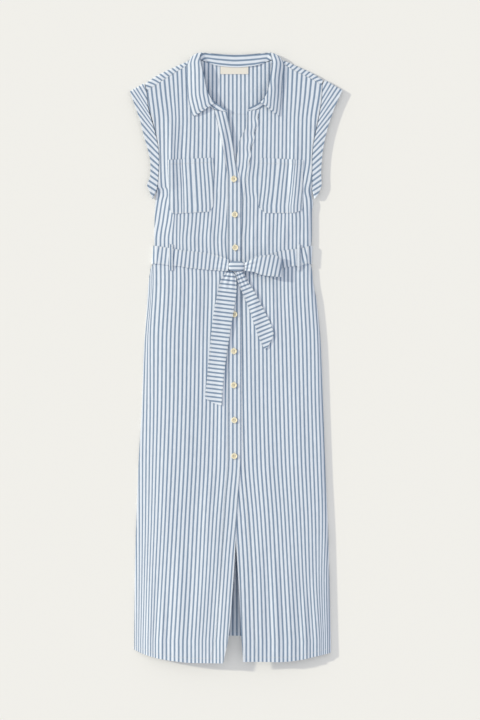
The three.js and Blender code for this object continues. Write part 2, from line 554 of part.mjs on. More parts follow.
const BELT_LOOPS = {
  right: table("x0 y0 x1 y1 lift", [[-144, 241, -136, 241, 1.6], [-144, 236, -136, 236, 2.2],
    [-144, 232.5, -136, 232.5, 3.6], [-144, 213, -136, 213, 3.7], [-144, 196, -136, 196, 3.6],
    [-144, 191, -136, 191, 2.2], [-144, 185, -136, 185, 1.6]]),
  left: table("x0 y0 x1 y1 lift", [[129.5, 241, 137.5, 241, 1.6], [129.5, 237, 137.5, 237, 2.2],
    [129.5, 233.5, 137.5, 233.5, 3.6], [129.5, 213, 137.5, 213, 3.7], [129.5, 195, 137.5, 195, 3.6],
    [129.5, 190, 137.5, 190, 2.2], [129.5, 184.5, 137.5, 184.5, 1.6]]),
};

// The knot: a soft square lump between the tails, flat beneath.
const KNOT = { x: 0.5, y: 193.5, halfWidth: 16.6, halfDepth: 10.8, bottom: 11.05, top: 20 };
const SQUARENESS = 0.6;
const KNOT_SEGMENTS = { around: 16, down: 10 };

function knotGeometry() {
  const geometry = new THREE.SphereGeometry(1, KNOT_SEGMENTS.around, KNOT_SEGMENTS.down).rotateX(Math.PI / 2);
  const soft = (value) => Math.sign(value) * Math.abs(value) ** SQUARENESS;
  const middle = (KNOT.top + KNOT.bottom) / 2;
  const places = geometry.attributes.position;
  for (let i = 0; i < places.count; i += 1) {
    const x = KNOT.x + soft(places.getX(i)) * KNOT.halfWidth;
    const y = KNOT.y + soft(places.getY(i)) * KNOT.halfDepth;
    places.setXYZ(i, x, y, middle + soft(places.getZ(i)) * (KNOT.top - middle));
  }
  return geometry;
}

// Buttons lie on the top placket, turned with it.
const BUTTONS = table("x y", [[-5, 381], [-3, 305], [-2, 234], [-6, 162], [-4, 91], [-5, 12], [-5, -61],
  [-4, -136], [-4, -213]]);

const BUTTON_PROFILE = table("radius height", [[0, 0], [5.2, 0], [BUTTON_RADIUS, 0.8], [BUTTON_RADIUS, 1.6],
  [5.6, BUTTON_HEIGHT], [4.3, 2], [0, 1.8]]);
const BUTTON_SEAT = CLOTH / 2 + SEAM_GAP + 0.1;
const BUTTON_REACH = 8;
const BUTTON_ROUGHNESS = 0.35;

function buttonMesh(row, i) {
  const profile = BUTTON_PROFILE.map(({ radius, height }) => new THREE.Vector2(radius, height));
  const geometry = new THREE.LatheGeometry(profile, BUTTON_SEGMENTS).rotateX(Math.PI / 2);
  const mesh = piece(`button_${i + 1}`, geometry, COLOURS.button, BUTTON_ROUGHNESS);
  const rise = frontHeight(row.x, row.y + BUTTON_REACH) - frontHeight(row.x, row.y - BUTTON_REACH);
  const slope = rise / (2 * BUTTON_REACH);
  mesh.position.copy(onFront(row.x, row.y, BUTTON_SEAT));
  mesh.rotation.x = Math.atan(slope);
  return mesh;
}

// The label hangs on the yoke's inner side, just below the neckline.
const LABEL = { left: -34, right: 26, top: 621, bottom: 607, clear: 0.5 };

function labelGrid() {
  const yoke = YOKE.find((row) => row.seamX === 0);
  const height = yoke.low + CLOTH / 2 + LABEL.clear + STRIP_CLOTH / 2;
  return [LABEL.left, (LABEL.left + LABEL.right) / 2, LABEL.right].map(
    (x) => [LABEL.top, LABEL.bottom].map((y) => point(x, y, height)));
}

for (const side of ["right", "left"]) {
  dress.add(piece(`front_${side}`, wall(frontGrid(side), CLOTH)));
  dress.add(piece(`sleeve_${side}`, wall(sleeveGrid(side), CLOTH, true)));
  dress.add(piece(`pocket_${side}`, wall(pocketGrid(side), CLOTH)));
  dress.add(piece(`belt_side_${side}`, wall(beltSideGrid(side), BELT_CLOTH)));
  dress.add(piece(`belt_loop_${side}`, wall(stripOnFront(BELT_LOOPS[side], 1), STRIP_CLOTH)));
}
dress.add(piece("placket_top", wall(placketGrid("right"), CLOTH)));
dress.add(piece("placket_under", wall(placketGrid("left"), CLOTH)));
dress.add(piece("back_body", wall(backGrid(), CLOTH)));
dress.add(piece("back_yoke", wall(yokeGrid(), CLOTH)));
dress.add(piece("collar_stand", wall(standGrid(), CLOTH)));
dress.add(piece("collar_leaf", wall(leafGrid(), CLOTH)));
dress.add(piece("neck_label", wall(labelGrid(), STRIP_CLOTH), COLOURS.label));
dress.add(piece("belt_back", wall(beltBackGrid(), BELT_CLOTH)));
dress.add(piece("belt_tail_long", wall(stripOnFront(TAILS.long), BELT_CLOTH)));
dress.add(piece("belt_tail_short", wall(stripOnFront(TAILS.short), BELT_CLOTH)));
dress.add(piece("belt_bow_loop", wall(stripOnFront(BOW_LOOP), BELT_CLOTH)));
dress.add(piece("belt_knot", knotGeometry()));
BUTTONS.forEach((row, i) => dress.add(buttonMesh(row, i)));

// The part's own origin is the middle of its outline, on the surface that it lies on.
dress.updateMatrixWorld(true);
const reach = new THREE.Box3().setFromObject(dress);
const middle = reach.getCenter(new THREE.Vector3());
dress.position.set(-middle.x, -middle.y, -reach.min.z);

export default dress;
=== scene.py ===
"""A shirt dress in blue and white striped cotton, laid flat on its back and tied at the waist.

Shapes are worked out in millimetres in the drawing's frame, and become metres in `Cloth.build`. X runs to
the viewer's right, Y towards the collar and Z up from the surface. Right and left are the wearer's, so the
right front lies at negative X. Every cloth piece is a grid of points on the middle of its cloth, with a grain
that says where each point lies on the striped fabric.
"""
import logging
import math
from dataclasses import dataclass, field
from enum import Enum

import bpy
import numpy as np
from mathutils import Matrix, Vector


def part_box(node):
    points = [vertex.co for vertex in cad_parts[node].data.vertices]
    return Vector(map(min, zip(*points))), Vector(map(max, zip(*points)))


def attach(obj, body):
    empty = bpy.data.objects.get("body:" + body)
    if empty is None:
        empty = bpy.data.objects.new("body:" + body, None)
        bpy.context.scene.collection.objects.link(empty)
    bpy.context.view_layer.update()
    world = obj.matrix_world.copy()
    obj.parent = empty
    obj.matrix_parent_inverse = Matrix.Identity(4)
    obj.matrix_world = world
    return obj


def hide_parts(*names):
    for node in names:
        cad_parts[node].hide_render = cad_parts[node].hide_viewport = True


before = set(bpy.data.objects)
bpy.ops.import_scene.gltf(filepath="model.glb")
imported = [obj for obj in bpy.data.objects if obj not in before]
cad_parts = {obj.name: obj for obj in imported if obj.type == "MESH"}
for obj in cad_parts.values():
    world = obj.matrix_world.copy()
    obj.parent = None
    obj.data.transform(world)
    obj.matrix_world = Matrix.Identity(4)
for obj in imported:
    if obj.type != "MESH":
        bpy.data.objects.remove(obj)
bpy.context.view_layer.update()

LOG = logging.getLogger("shirt_dress")
Array = np.ndarray

CLOTH = 1.2
BELT_CLOTH = 1.5
STRIP_CLOTH = 1.0
SEAM_GAP = 0.3
LAYER = CLOTH + SEAM_GAP
SHELL = 0.7
STEP = 0.9
YOKE_SEAM_Y = 521.0
UNDERARM_Y = 356.0
HEM_Y = -655.0
SHOULDER_LEVEL = 633.0
PITCH = 8.69
STITCH = 3.3
RIM = 7.8
LABEL_CORNER = (-34.0, 607.0, 3.2)


class Side(Enum):
    """The wearer's right or left, with its sign along X."""

    RIGHT = -1
    LEFT = 1

    @property
    def word(self) -> str:
        """The side's name, as the nodes have it."""
        return self.name.lower()


def smooth_read(keys: Array, values: Array, at: Array) -> Array:
    """Reads a curve through the points (keys, values) that never overshoots them.

    Each point's slope is the harmonic mean of its neighbours' slopes, and zero at a turning point. Between
    two points runs the cubic with those slopes at its ends. Outside the keys the end values hold.

    Args:
        keys: rising key values.
        values: the value at each key.
        at: where to read, of any shape.

    Returns:
        The values there, in the shape of `at`.
    """
    spans = np.diff(keys)
    slopes = np.diff(values) / spans
    before, after = slopes[:-1], slopes[1:]
    total = np.where(np.abs(before + after) < 1e-12, 1.0, before + after)
    inner = np.where(before * after <= 0, 0.0, 2 * before * after / total)
    tangents = np.concatenate([slopes[:1], inner, slopes[-1:]])
    at = np.clip(np.asarray(at, float), keys[0], keys[-1])
    i = np.clip(np.searchsorted(keys, at, side="right") - 1, 0, len(keys) - 2)
    t = (at - keys[i]) / spans[i]
    square, cube = t * t, t * t * t
    return (values[i] * (2 * cube - 3 * square + 1) + values[i + 1] * (3 * square - 2 * cube)
            + tangents[i] * spans[i] * (cube - 2 * square + t) + tangents[i + 1] * spans[i] * (cube - square))


@dataclass(frozen=True)
class Table:
    """Rows of numbers under named columns."""

    names: str
    rows: tuple[tuple[float, ...], ...]

    def column(self, name: str) -> Array:
        """One column as an array."""
        return np.array([row[self.names.split().index(name)] for row in self.rows], float)

    def read(self, key: str, name: str, at: Array) -> Array:
        """Reads a column on the smooth curve through the rows, at values of the key column."""
        return smooth_read(self.column(key), self.column(name), at)

    def by_index(self, name: str, at: Array) -> Array:
        """Reads a column on the smooth curve through the rows, at any place in their order."""
        return smooth_read(np.arange(len(self.rows), dtype=float), self.column(name), at)

    def where(self, name: str, low: float, high: float) -> "Table":
        """The rows whose value in a column lies within two limits."""
        i = self.names.split().index(name)
        return Table(self.names, tuple(row for row in self.rows if low <= row[i] <= high))

    def turned(self) -> "Table":
        """The same rows in the opposite order."""
        return Table(self.names, tuple(reversed(self.rows)))


def mix(a: Array, b: Array, t: Array) -> Array:
    """The point a share t of the way from a to b."""
    return a + (b - a) * t


def ease(t: Array) -> Array:
    """A soft step from 0 to 1, level at both ends."""
    t = np.clip(t, 0.0, 1.0)
    return t * t * (3 - 2 * t)


EDGE = {
    Side.RIGHT: Table("y x", ((-629, -219), (-480, -218), (-339, -214), (-232, -210), (-114, -203), (0, -199),
                              (90, -193), (160, -188), (188, -184), (203, -178), (236, -175.5), (260, -176),
                              (328, -174), (356, -170),
                              (377, -167), (428, -165), (458, -168), (498, -178), (539, -189), (570, -192),
                              (587, -197))),
    Side.LEFT: Table("y x", ((-635, 203), (-500, 200), (-372, 197), (-264, 192), (-125, 187), (14, 182),
                             (115, 173), (160, 165), (188, 162), (203, 158.5), (236, 160.5), (260, 162),
                             (310, 162), (330, 165),
                             (345, 162), (425, 162), (451, 164), (483, 170), (517, 177), (558, 183),
                             (583, 184), (594, 190))),
}
SLEEVE_EDGE = {
    Side.RIGHT: Table("y x", ((339, -180), (353, -185), (369, -191), (386, -185), (398, -184), (416, -184),
                              (433, -187), (482, -200), (503, -205), (529, -214), (549, -221), (570, -228))),
    Side.LEFT: Table("y x", ((339, 168), (346, 174), (371, 183), (390, 182), (416, 183), (437, 185),
                             (466, 190), (494, 197), (535, 211), (572, 228))),
}
PLACKET_SEAM = {
    Side.RIGHT: Table("y x", ((-655, -57), (-601, -46), (-500, -37), (-389, -30), (-314, -26), (-213, -19),
                              (358, -19), (383, -19), (439, -27), (486, -37), (529, -47))),
    Side.LEFT: Table("y x", ((-652, 45), (-590, 40), (-535, 37), (-389, 28), (-213, 17), (-136, 14), (304, 14),
                             (336, 16), (383, 23), (422, 29), (461, 36), (497, 45), (531, 50))),
}
PLACKET_EDGE = {
    Side.RIGHT: Table("y x", ((-654, -28), (-601, -17), (-500, -8), (-389, -1), (-314, 3), (-258, 7),
                              (-213, 10), (367, 10), (390, 6), (415, -1), (442, -6), (477, -10), (514, -17),
                              (525, -20))),
    Side.LEFT: Table("y x", ((-650, 14.5), (-590, 10.5), (-535, 8), (-389, -1), (-213, -12), (-136, -16),
                             (304, -16), (347, -13), (379, -7), (411, -1), (439, 3), (463, 7), (480, 14),
                             (496, 21), (526, 22))),
}
NECKLINE = Table("c x y z", (
    (-1, -21, 524.5, 9), (-0.94, -45, 529, 9), (-0.86, -64, 541, 7.8), (-0.75, -79, 557, 7.5),
    (-0.62, -89, 584, 7.5), (-0.5, -92, 612, 7.5), (-0.4, -90, 633, 7.2), (-0.34, -78, 635.5, 5.2),
    (-0.28, -64, 632, 3.6), (-0.15, -35, 626, 2.3), (0, 0, 623, 2.1), (0.15, 35, 626, 2.3),
    (0.28, 64, 632, 3.6), (0.34, 77, 635.8, 5.4), (0.4, 89, 633.5, 7.2), (0.5, 92, 612, 7.5),
    (0.62, 89, 584, 7.5), (0.75, 80, 557, 7.5), (0.86, 67, 542, 7.5), (0.94, 49, 531, 7.5),
    (1, 24, 527, 7.5)))
COLLAR = Table("c foldX foldY foldZ bendX bendY bendZ edgeX edgeY edgeZ", (
    (-1, -21, 529.5, 12, -21, 529.5, 12, -21, 529.5, 12),
    (-0.94, -32, 536, 12, -40, 532, 14, -60, 526, 11),
    (-0.88, -45, 545, 12.5, -58, 535, 15, -90, 516, 9.4),
    (-0.78, -55, 557, 13.2, -68, 549, 16, -98, 534, 9.4),
    (-0.65, -63, 574, 13.6, -76, 570, 16.5, -103.5, 562, 9.4),
    (-0.52, -68, 600, 13.6, -81, 600, 16.5, -105, 600, 9.4),
    (-0.42, -75, 628, 12, -88, 633, 14, -105, 623, 9),
    (-0.35, -77, 643, 9.4, -91, 650, 10, -99.5, 638, 9),
    (-0.31, -75, 648.5, 8, -86, 656, 5.5, -95, 641.5, 1),
    (-0.26, -70, 651, 6.6, -78, 658, 1.5, -88, 631, 0.6),
    (-0.15, -42, 649, 5.4, -46, 655, 0.2, -56, 610, 0.6),
    (0, 0, 647, 5, 0, 653, 0, 0, 604, 0.6),
    (0.15, 40, 649, 5.4, 44, 655, 0.2, 54, 610, 0.6),
    (0.26, 69, 651, 6.6, 76.5, 658, 1.5, 87, 631, 0.6),
    (0.31, 73, 648, 8.5, 83.5, 655, 5.5, 93.5, 641, 1),
    (0.35, 75, 643.5, 10, 88, 649, 10.5, 97, 638, 9),
    (0.42, 77, 628, 13, 89, 631, 16, 102, 624, 9),
    (0.52, 73, 602, 14.5, 85, 601, 18, 99.5, 600, 9.4),
    (0.65, 69, 577, 14.5, 81, 573, 17.5, 97, 562, 9.4),
    (0.78, 62, 559, 13.8, 74, 551, 16.5, 95, 536, 9.4),
    (0.88, 51, 546, 12.8, 64, 536, 15, 91, 516, 9.4),
    (0.94, 41, 540, 11, 48, 534, 13, 60, 526, 11),
    (1, 26, 533, 10, 26, 533, 10, 26, 533, 10)))
LEAF_END = 0.88
YOKE = Table("seamX foldX foldY endX endY endZ wrap low", (
    (-183, -195.5, 586, -191.5, 570.3, 7.5, 1, 0.6), (-162, -172, 602, -167, 587, 7.5, 1, 0.6),
    (-134, -140, 618, -137, 606, 7.5, 1, 0.9), (-108, -113, 630, -111, 622, 7.5, 1, 2.4),
    (-88, -95, 637, -90, 633.3, 7.2, 1, 2.6), (-74, -80, 637.5, -78, 635.5, 5.2, 0.5, 2.1),
    (-58, -64, 634, -64, 632, 3.6, 0, 2.1), (-32, -35, 627, -35, 626, 2.3, 0, 2.1),
    (0, 0, 624, 0, 623, 2.1, 0, 2.1), (32, 35, 627, 35, 626, 2.3, 0, 2.1),
    (58, 64, 634, 64, 632, 3.6, 0, 2.1), (74, 80, 637.5, 78, 635.5, 5.2, 0.5, 2.1),
    (88, 95, 637, 90, 633.3, 7.2, 1, 2.6), (108, 113, 631, 111, 622, 7.5, 1, 2.4),
    (132, 140, 619, 136, 608, 7.5, 1, 0.9), (156, 166, 607, 162, 596, 7.5, 1, 0.6),
    (176.5, 185.8, 593.5, 183, 583.3, 7.5, 1, 0.6)))
FRONT_HEM = {
    Side.RIGHT: Table("x y", ((-219, -629), (-202, -637), (-165, -647), (-128, -652), (-91, -655), (-57, -655))),
    Side.LEFT: Table("x y", ((45, -652), (94, -653), (131, -650), (167, -643), (203, -635))),
}
BACK_HEM = Table("x y", ((-219, -629), (-164, -616), (-99, -605), (-24, -599), (51, -602), (115, -610),
                         (169, -623), (203, -635)))
LOFT = Table("y height round", ((-655, 19, 50), (-560, 16.5, 44), (-450, 13.5, 34), (-330, 11, 24),
                                (-200, 9.2, 16), (0, 8.5, 12), (210, 8.5, 12), (356, 8, 10), (520, 7.5, 10),
                                (640, 7.5, 10)))
FOLDS = Table("x0 y0 x1 y1 width height", (
    (-142, 515, -139, 262, 10, 3.6), (126, 500, 125, 262, 13, 2.6), (-30, 520, -24, 400, 7, 2.5),
    (-60, -250, -66, -560, 12, 2), (-42, -470, -52, -700, 9, -1.4),
    (-8, -400, -10, -760, 62, 5), (-184, -470, -190, -690, 8, 3.5),
    (-158, -500, -163, -690, 7, 3), (170, -470, 176, -690, 8, 3.5), (146, -500, 149, -690, 7, 3),
    (80, -420, 90, -690, 10, 2.5)))
# Finer creases than the solids have: soft ridges above zero and troughs below it, all uneven.
CREASES = Table("x0 y0 x1 y1 width height", (
    (-150, 500, -146, 250, 5, -1.2), (-117, 520, -112, 300, 5, -1.1), (144, 500, 143, 255, 5, -1.2),
    (111, 520, 112, 300, 5, -1.1), (-158, 350, -140, 240, 7, 1.3), (150, 350, 146, 240, 6, 1.2),
    (-95, 262, -90, 236, 7, 1), (-60, 300, -52, 232, 9, 1.6), (-38, 280, -30, 222, 6, 1.2),
    (40, 290, 34, 218, 7, 1.3), (70, 300, 62, 228, 8, 1.5), (104, 290, 98, 232, 7, 1.2),
    (-150, 196, -156, 60, 9, 1.3), (-118, 196, -121, 90, 7, 1.1), (-84, 192, -88, 20, 10, 1.5),
    (-40, 186, -47, 40, 8, 1.4), (36, 186, 44, 30, 8, 1.4), (74, 190, 84, 10, 10, 1.5),
    (112, 194, 121, 70, 8, 1.2), (142, 196, 150, 50, 8, 1.3), (-24, 380, -32, 470, 6, 1.2),
    (30, 470, 26, 370, 7, 1.4), (-105, -60, -112, -330, 22, 1.2), (60, -120, 66, -420, 24, 1.1),
    (130, -40, 140, -300, 20, 1.1), (-150, -160, -158, -420, 18, 1.1), (-40, -300, -52, -520, 12, 1.6),
    (-78, -360, -84, -655, 14, 1.4), (-118, -400, -126, -690, 16, 1.8), (50, -380, 56, -655, 12, 1.4),
    (112, -420, 120, -690, 15, 1.9), (-28, 40, -30, -240, 9, 1), (28, 20, 33, -260, 9, 1)))


def belt_lift(y: Array) -> Array:
    """How far the back is lifted by the belt beneath it: one belt's thickness, easing off above and below."""
    above = ease((238 + 26 - y) / 26)
    below = ease((y - 195 + 26) / 26)
    return (BELT_CLOTH + SEAM_GAP) * np.minimum(above, below)


def neck_lift(x: Array, y: Array) -> Array:
    """How far the back comes up towards the fronts behind the open neck."""
    highest, half_width, low, high = 4.3, 78, 345, 604
    along = np.minimum(ease((y - low) / 60), ease((high - y) / 40))
    return highest * ease((half_width - np.abs(x)) / 40) * along


def back_height(y: Array) -> Array:
    """The middle of the back cloth away from the neck: half its thickness above the surface, and over the belt."""
    return CLOTH / 2 + belt_lift(y)


def ridges(table: Table, x: Array, y: Array) -> Array:
    """The sum of soft ridges, each a bell across its own straight line that fades to both ends.

    Args:
        table: one ridge a row, with its two ends, its width and its height.
        x: places along X.
        y: places along Y.

    Returns:
        The height of all ridges there.
    """
    total = np.zeros(np.broadcast(x, y).shape)
    for x0, y0, x1, y1, width, height in table.rows:
        t = np.clip((y - y0) / (y1 - y0), 0.0, 1.0)
        across = (x - mix(x0, x1, t)) / width
        total = total + height * np.exp(-across * across) * np.sin(np.pi * t) ** 0.6
    return total


def front_height(x: Array, y: Array) -> Array:
    """The middle of the front cloth: a level top with its folds, that falls away to both sides.

    On the right it is long and soft. On the left a short quarter of an ellipse comes down from the rim's
    height, and only what rises above the rim falls as softly.
    """
    edge = np.where(x < 0, EDGE[Side.RIGHT].read("y", "x", y), EDGE[Side.LEFT].read("y", "x", y))
    inside = np.maximum(0, np.abs(edge) - np.abs(x))
    around = LOFT.read("y", "round", y)
    soft = 1 - (1 - np.minimum(1, inside / (55 + 1.6 * around))) ** 1.8
    short = np.sqrt(1 - (1 - np.minimum(1, inside / 9)) ** 2)
    top = LOFT.read("y", "height", y) + ridges(FOLDS, x, y) + ridges(CREASES, x, y) * ease(inside / 30)
    foot = mix(back_height(y) + LAYER - CLOTH / 2 + 0.4, top, ease((y - UNDERARM_Y + 4) / 20))
    return np.where(x < 0, mix(foot, top, soft), foot + (RIM - foot) * short + (top - RIM) * soft)


def placket_rise(x: Array, y: Array) -> Array:
    """The top placket lies on the lower one, so what lies beside it or over it rises by one layer."""
    seam = PLACKET_SEAM[Side.RIGHT].read("y", "x", y)
    edge = PLACKET_EDGE[Side.RIGHT].read("y", "x", y)
    return STEP * ease(1 - np.maximum(np.maximum(seam - x, x - edge), 0) / 24)


def on_front(x: Array, y: Array, lift: Array) -> Array:
    """Points above the fronts: the middle of their cloth, moved out along its normal.

    Args:
        x: places along X.
        y: places along Y.
        lift: how far out each point lies.

    Returns:
        The points, with X, Y and Z on the last axis.
    """
    step = 2.0

    def risen(a: Array, b: Array) -> Array:
        """The fronts' middle with the plackets' rise."""
        return front_height(a, b) + placket_rise(a, b)

    slope_x = (risen(x + step, y) - risen(x - step, y)) / (2 * step)
    slope_y = (risen(x, y + step) - risen(x, y - step)) / (2 * step)
    size = np.sqrt(slope_x ** 2 + slope_y ** 2 + 1)
    return np.stack([x - slope_x / size * lift, y - slope_y / size * lift, risen(x, y) + lift / size], axis=-1)


@dataclass(frozen=True)
class StripedCotton:
    """Crisp plain-weave cotton with woven stripes, dry and matte."""

    name: str = "striped_cotton"
    blue: tuple[float, float, float] = (0.215, 0.295, 0.415)
    white: tuple[float, float, float] = (0.755, 0.81, 0.89)
    share: float = 0.42
    blur: float = 0.07
    thread: float = 0.00055
    roughness: float = 0.92
    sheen: float = 0.15
    ripples: float = 0.45

    def material(self) -> bpy.types.Material:
        """Builds the material: stripes across U of the grain map, with uneven edges and a fine weave."""
        made = bpy.data.materials.new(self.name)
        made.use_nodes = True
        tree = made.node_tree
        shader = tree.nodes["Principled BSDF"]
        shader.inputs["Roughness"].default_value = self.roughness
        shader.inputs["Sheen Weight"].default_value = self.sheen
        shader.inputs["Specular IOR Level"].default_value = 0.25
        grain = node(tree, "ShaderNodeUVMap")
        grain.uv_map = "grain"
        parts = node(tree, "ShaderNodeSeparateXYZ")
        link(tree, grain.outputs[0], parts.inputs[0])
        slub = node(tree, "ShaderNodeTexNoise")
        stretch = node(tree, "ShaderNodeMapping")
        stretch.inputs["Scale"].default_value = (900.0, 60.0, 1.0)
        link(tree, grain.outputs[0], stretch.inputs[0])
        link(tree, stretch.outputs[0], slub.inputs["Vector"])
        slub.inputs["Scale"].default_value = 1.0
        slub.inputs["Detail"].default_value = 3.0
        count = math_node(tree, "MULTIPLY", parts.outputs[0], 1000.0 / PITCH)
        wander = math_node(tree, "MULTIPLY", math_node(tree, "SUBTRACT", slub.outputs["Fac"], 0.5), 0.10)
        place = math_node(tree, "FRACT", math_node(tree, "ADD", count, wander))
        away = math_node(tree, "ABSOLUTE", math_node(tree, "SUBTRACT", place, 0.5))
        band = node(tree, "ShaderNodeMapRange")
        band.interpolation_type = "SMOOTHSTEP"
        link(tree, away, band.inputs["Value"])
        band.inputs["From Min"].default_value = self.share / 2 + self.blur
        band.inputs["From Max"].default_value = self.share / 2 - self.blur
        tint = node(tree, "ShaderNodeMix")
        tint.data_type = "RGBA"
        link(tree, band.outputs[0], tint.inputs[0])
        tint.inputs[6].default_value = (*self.white, 1.0)
        tint.inputs[7].default_value = (*self.blue, 1.0)
        shade = node(tree, "ShaderNodeMix")
        shade.data_type = "RGBA"
        shade.blend_type = "MULTIPLY"
        shade.inputs[0].default_value = 1.0
        link(tree, tint.outputs[2], shade.inputs[6])
        fleck = node(tree, "ShaderNodeMapRange")
        link(tree, slub.outputs["Fac"], fleck.inputs["Value"])
        fleck.inputs["To Min"].default_value = 0.86
        fleck.inputs["To Max"].default_value = 1.14
        link(tree, fleck.outputs[0], shade.inputs[7])
        link(tree, shade.outputs[2], shader.inputs["Base Color"])
        warp = self.threads(tree, parts.outputs[0])
        weft = self.threads(tree, parts.outputs[1])
        weave = math_node(tree, "MULTIPLY", warp, weft)
        height = math_node(tree, "ADD", weave, slub.outputs["Fac"])
        bump = node(tree, "ShaderNodeBump")
        bump.inputs["Strength"].default_value = 0.25
        bump.inputs["Distance"].default_value = 0.0002
        link(tree, height, bump.inputs["Height"])
        ripple = node(tree, "ShaderNodeTexNoise")
        spread = node(tree, "ShaderNodeMapping")
        spread.inputs["Scale"].default_value = (52.0, 15.0, 1.0)
        link(tree, grain.outputs[0], spread.inputs[0])
        link(tree, spread.outputs[0], ripple.inputs["Vector"])
        ripple.inputs["Scale"].default_value = 1.0
        ripple.inputs["Detail"].default_value = 2.0
        swell = node(tree, "ShaderNodeBump")
        swell.inputs["Strength"].default_value = self.ripples
        swell.inputs["Distance"].default_value = 0.002
        link(tree, ripple.outputs["Fac"], swell.inputs["Height"])
        link(tree, swell.outputs[0], bump.inputs["Normal"])
        link(tree, bump.outputs[0], shader.inputs["Normal"])
        return made

    def threads(self, tree: bpy.types.NodeTree, along: bpy.types.NodeSocket) -> bpy.types.NodeSocket:
        """The height of one set of threads: a sine wave of the thread's width along one direction."""
        return math_node(tree, "SINE", math_node(tree, "MULTIPLY", along, 2 * math.pi / self.thread))


@dataclass(frozen=True)
class CreamButton:
    """Softly polished cream button with a faint mottle."""

    name: str = "cream_button"
    light: tuple[float, float, float] = (0.90, 0.83, 0.62)
    dark: tuple[float, float, float] = (0.80, 0.69, 0.45)
    roughness: float = 0.3

    def material(self) -> bpy.types.Material:
        """Builds the material: two creams mixed by soft clouds in Object space."""
        made = bpy.data.materials.new(self.name)
        made.use_nodes = True
        tree = made.node_tree
        shader = tree.nodes["Principled BSDF"]
        shader.inputs["Roughness"].default_value = self.roughness
        where = node(tree, "ShaderNodeTexCoord")
        clouds = node(tree, "ShaderNodeTexNoise")
        link(tree, where.outputs["Object"], clouds.inputs["Vector"])
        clouds.inputs["Scale"].default_value = 180.0
        clouds.inputs["Detail"].default_value = 4.0
        ramp = node(tree, "ShaderNodeValToRGB")
        ramp.color_ramp.elements[0].position = 0.3
        ramp.color_ramp.elements[0].color = (*self.dark, 1.0)
        ramp.color_ramp.elements[1].position = 0.6
        ramp.color_ramp.elements[1].color = (*self.light, 1.0)
        link(tree, clouds.outputs["Fac"], ramp.inputs[0])
        link(tree, ramp.outputs[0], shader.inputs["Base Color"])
        return made


@dataclass(frozen=True)
class PlainTextile:
    """A plain woven textile of one colour, with fine ribs."""

    name: str
    colour: tuple[float, float, float]
    rib: float = 0.0007
    roughness: float = 0.8

    def material(self) -> bpy.types.Material:
        """Builds the material: one colour shaded a little by fine ribs along Y."""
        made = bpy.data.materials.new(self.name)
        made.use_nodes = True
        tree = made.node_tree
        shader = tree.nodes["Principled BSDF"]
        shader.inputs["Roughness"].default_value = self.roughness
        where = node(tree, "ShaderNodeTexCoord")
        parts = node(tree, "ShaderNodeSeparateXYZ")
        link(tree, where.outputs["Object"], parts.inputs[0])
        wave = math_node(tree, "SINE", math_node(tree, "MULTIPLY", parts.outputs[1], 2 * math.pi / self.rib))
        range_ = node(tree, "ShaderNodeMapRange")
        link(tree, wave, range_.inputs["Value"])
        range_.inputs["From Min"].default_value = -1.0
        range_.inputs["To Min"].default_value = 0.94
        shade = node(tree, "ShaderNodeMix")
        shade.data_type = "RGBA"
        shade.blend_type = "MULTIPLY"
        shade.inputs[0].default_value = 1.0
        shade.inputs[6].default_value = (*self.colour, 1.0)
        link(tree, range_.outputs[0], shade.inputs[7])
        link(tree, shade.outputs[2], shader.inputs["Base Color"])
        return made


def node(tree: bpy.types.NodeTree, kind: str) -> bpy.types.Node:
    """Adds a node of a kind to a material's tree."""
    return tree.nodes.new(kind)


def link(tree: bpy.types.NodeTree, start: bpy.types.NodeSocket, end: bpy.types.NodeSocket) -> None:
    """Joins an output to an input."""
    tree.links.new(start, end)


def math_node(tree: bpy.types.NodeTree, operation: str, first: bpy.types.NodeSocket,
              second: bpy.types.NodeSocket | float | None = None) -> bpy.types.NodeSocket:
    """Adds a Math node on one socket, with a second socket or number.

    Args:
        tree: the material's tree.
        operation: the node's operation.
        first: the socket for its first value.
        second: a socket or number for its second value, or None.

    Returns:
        The node's output.
    """
    made = node(tree, "ShaderNodeMath")
    made.operation = operation
    link(tree, first, made.inputs[0])
    if isinstance(second, (int, float)):
        made.inputs[1].default_value = second
    elif second is not None:
        link(tree, second, made.inputs[1])
    return made.outputs[0]


@dataclass
class Workshop:
    """What every piece needs: the finishes, and the shift from the drawing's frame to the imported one."""

    cotton: bpy.types.Material = field(default_factory=lambda: StripedCotton().material())
    cream: bpy.types.Material = field(default_factory=lambda: CreamButton().material())
    tape: bpy.types.Material = field(
        default_factory=lambda: PlainTextile("label_tape", (0.84, 0.80, 0.72)).material())
    # Dark brown painted shade, laid over the buttons' holes.
    shade: bpy.types.Material = field(
        default_factory=lambda: PlainTextile("painted_hole_shade", (0.16, 0.11, 0.06)).material())
    thread: bpy.types.Material = field(
        default_factory=lambda: PlainTextile("seam_thread", (0.80, 0.77, 0.69), rib=0.0004).material())
    shift: Array = field(default_factory=lambda: np.array(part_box("neck_label")[0]) * 1000 - LABEL_CORNER)

    def mesh(self, name: str, points: Array, faces: Array, material: bpy.types.Material) -> bpy.types.Object:
        """Makes an object at the origin from points in millimetres.

        Args:
            name: the piece's name.
            points: its points, one a row, in the drawing's frame.
            faces: its four-sided faces, as point numbers.
            material: its finish.

        Returns:
            The object, in metres, riding on the dress.
        """
        data = bpy.data.meshes.new(name)
        data.from_pydata((points + self.shift) / 1000, [], faces)
        data.update()
        data.polygons.foreach_set("use_smooth", np.ones(len(data.polygons), bool))
        data.materials.append(material)
        made = bpy.data.objects.new(name, data)
        bpy.context.scene.collection.objects.link(made)
        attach(made, "root")
        LOG.info("%s: %d faces", name, len(faces))
        return made


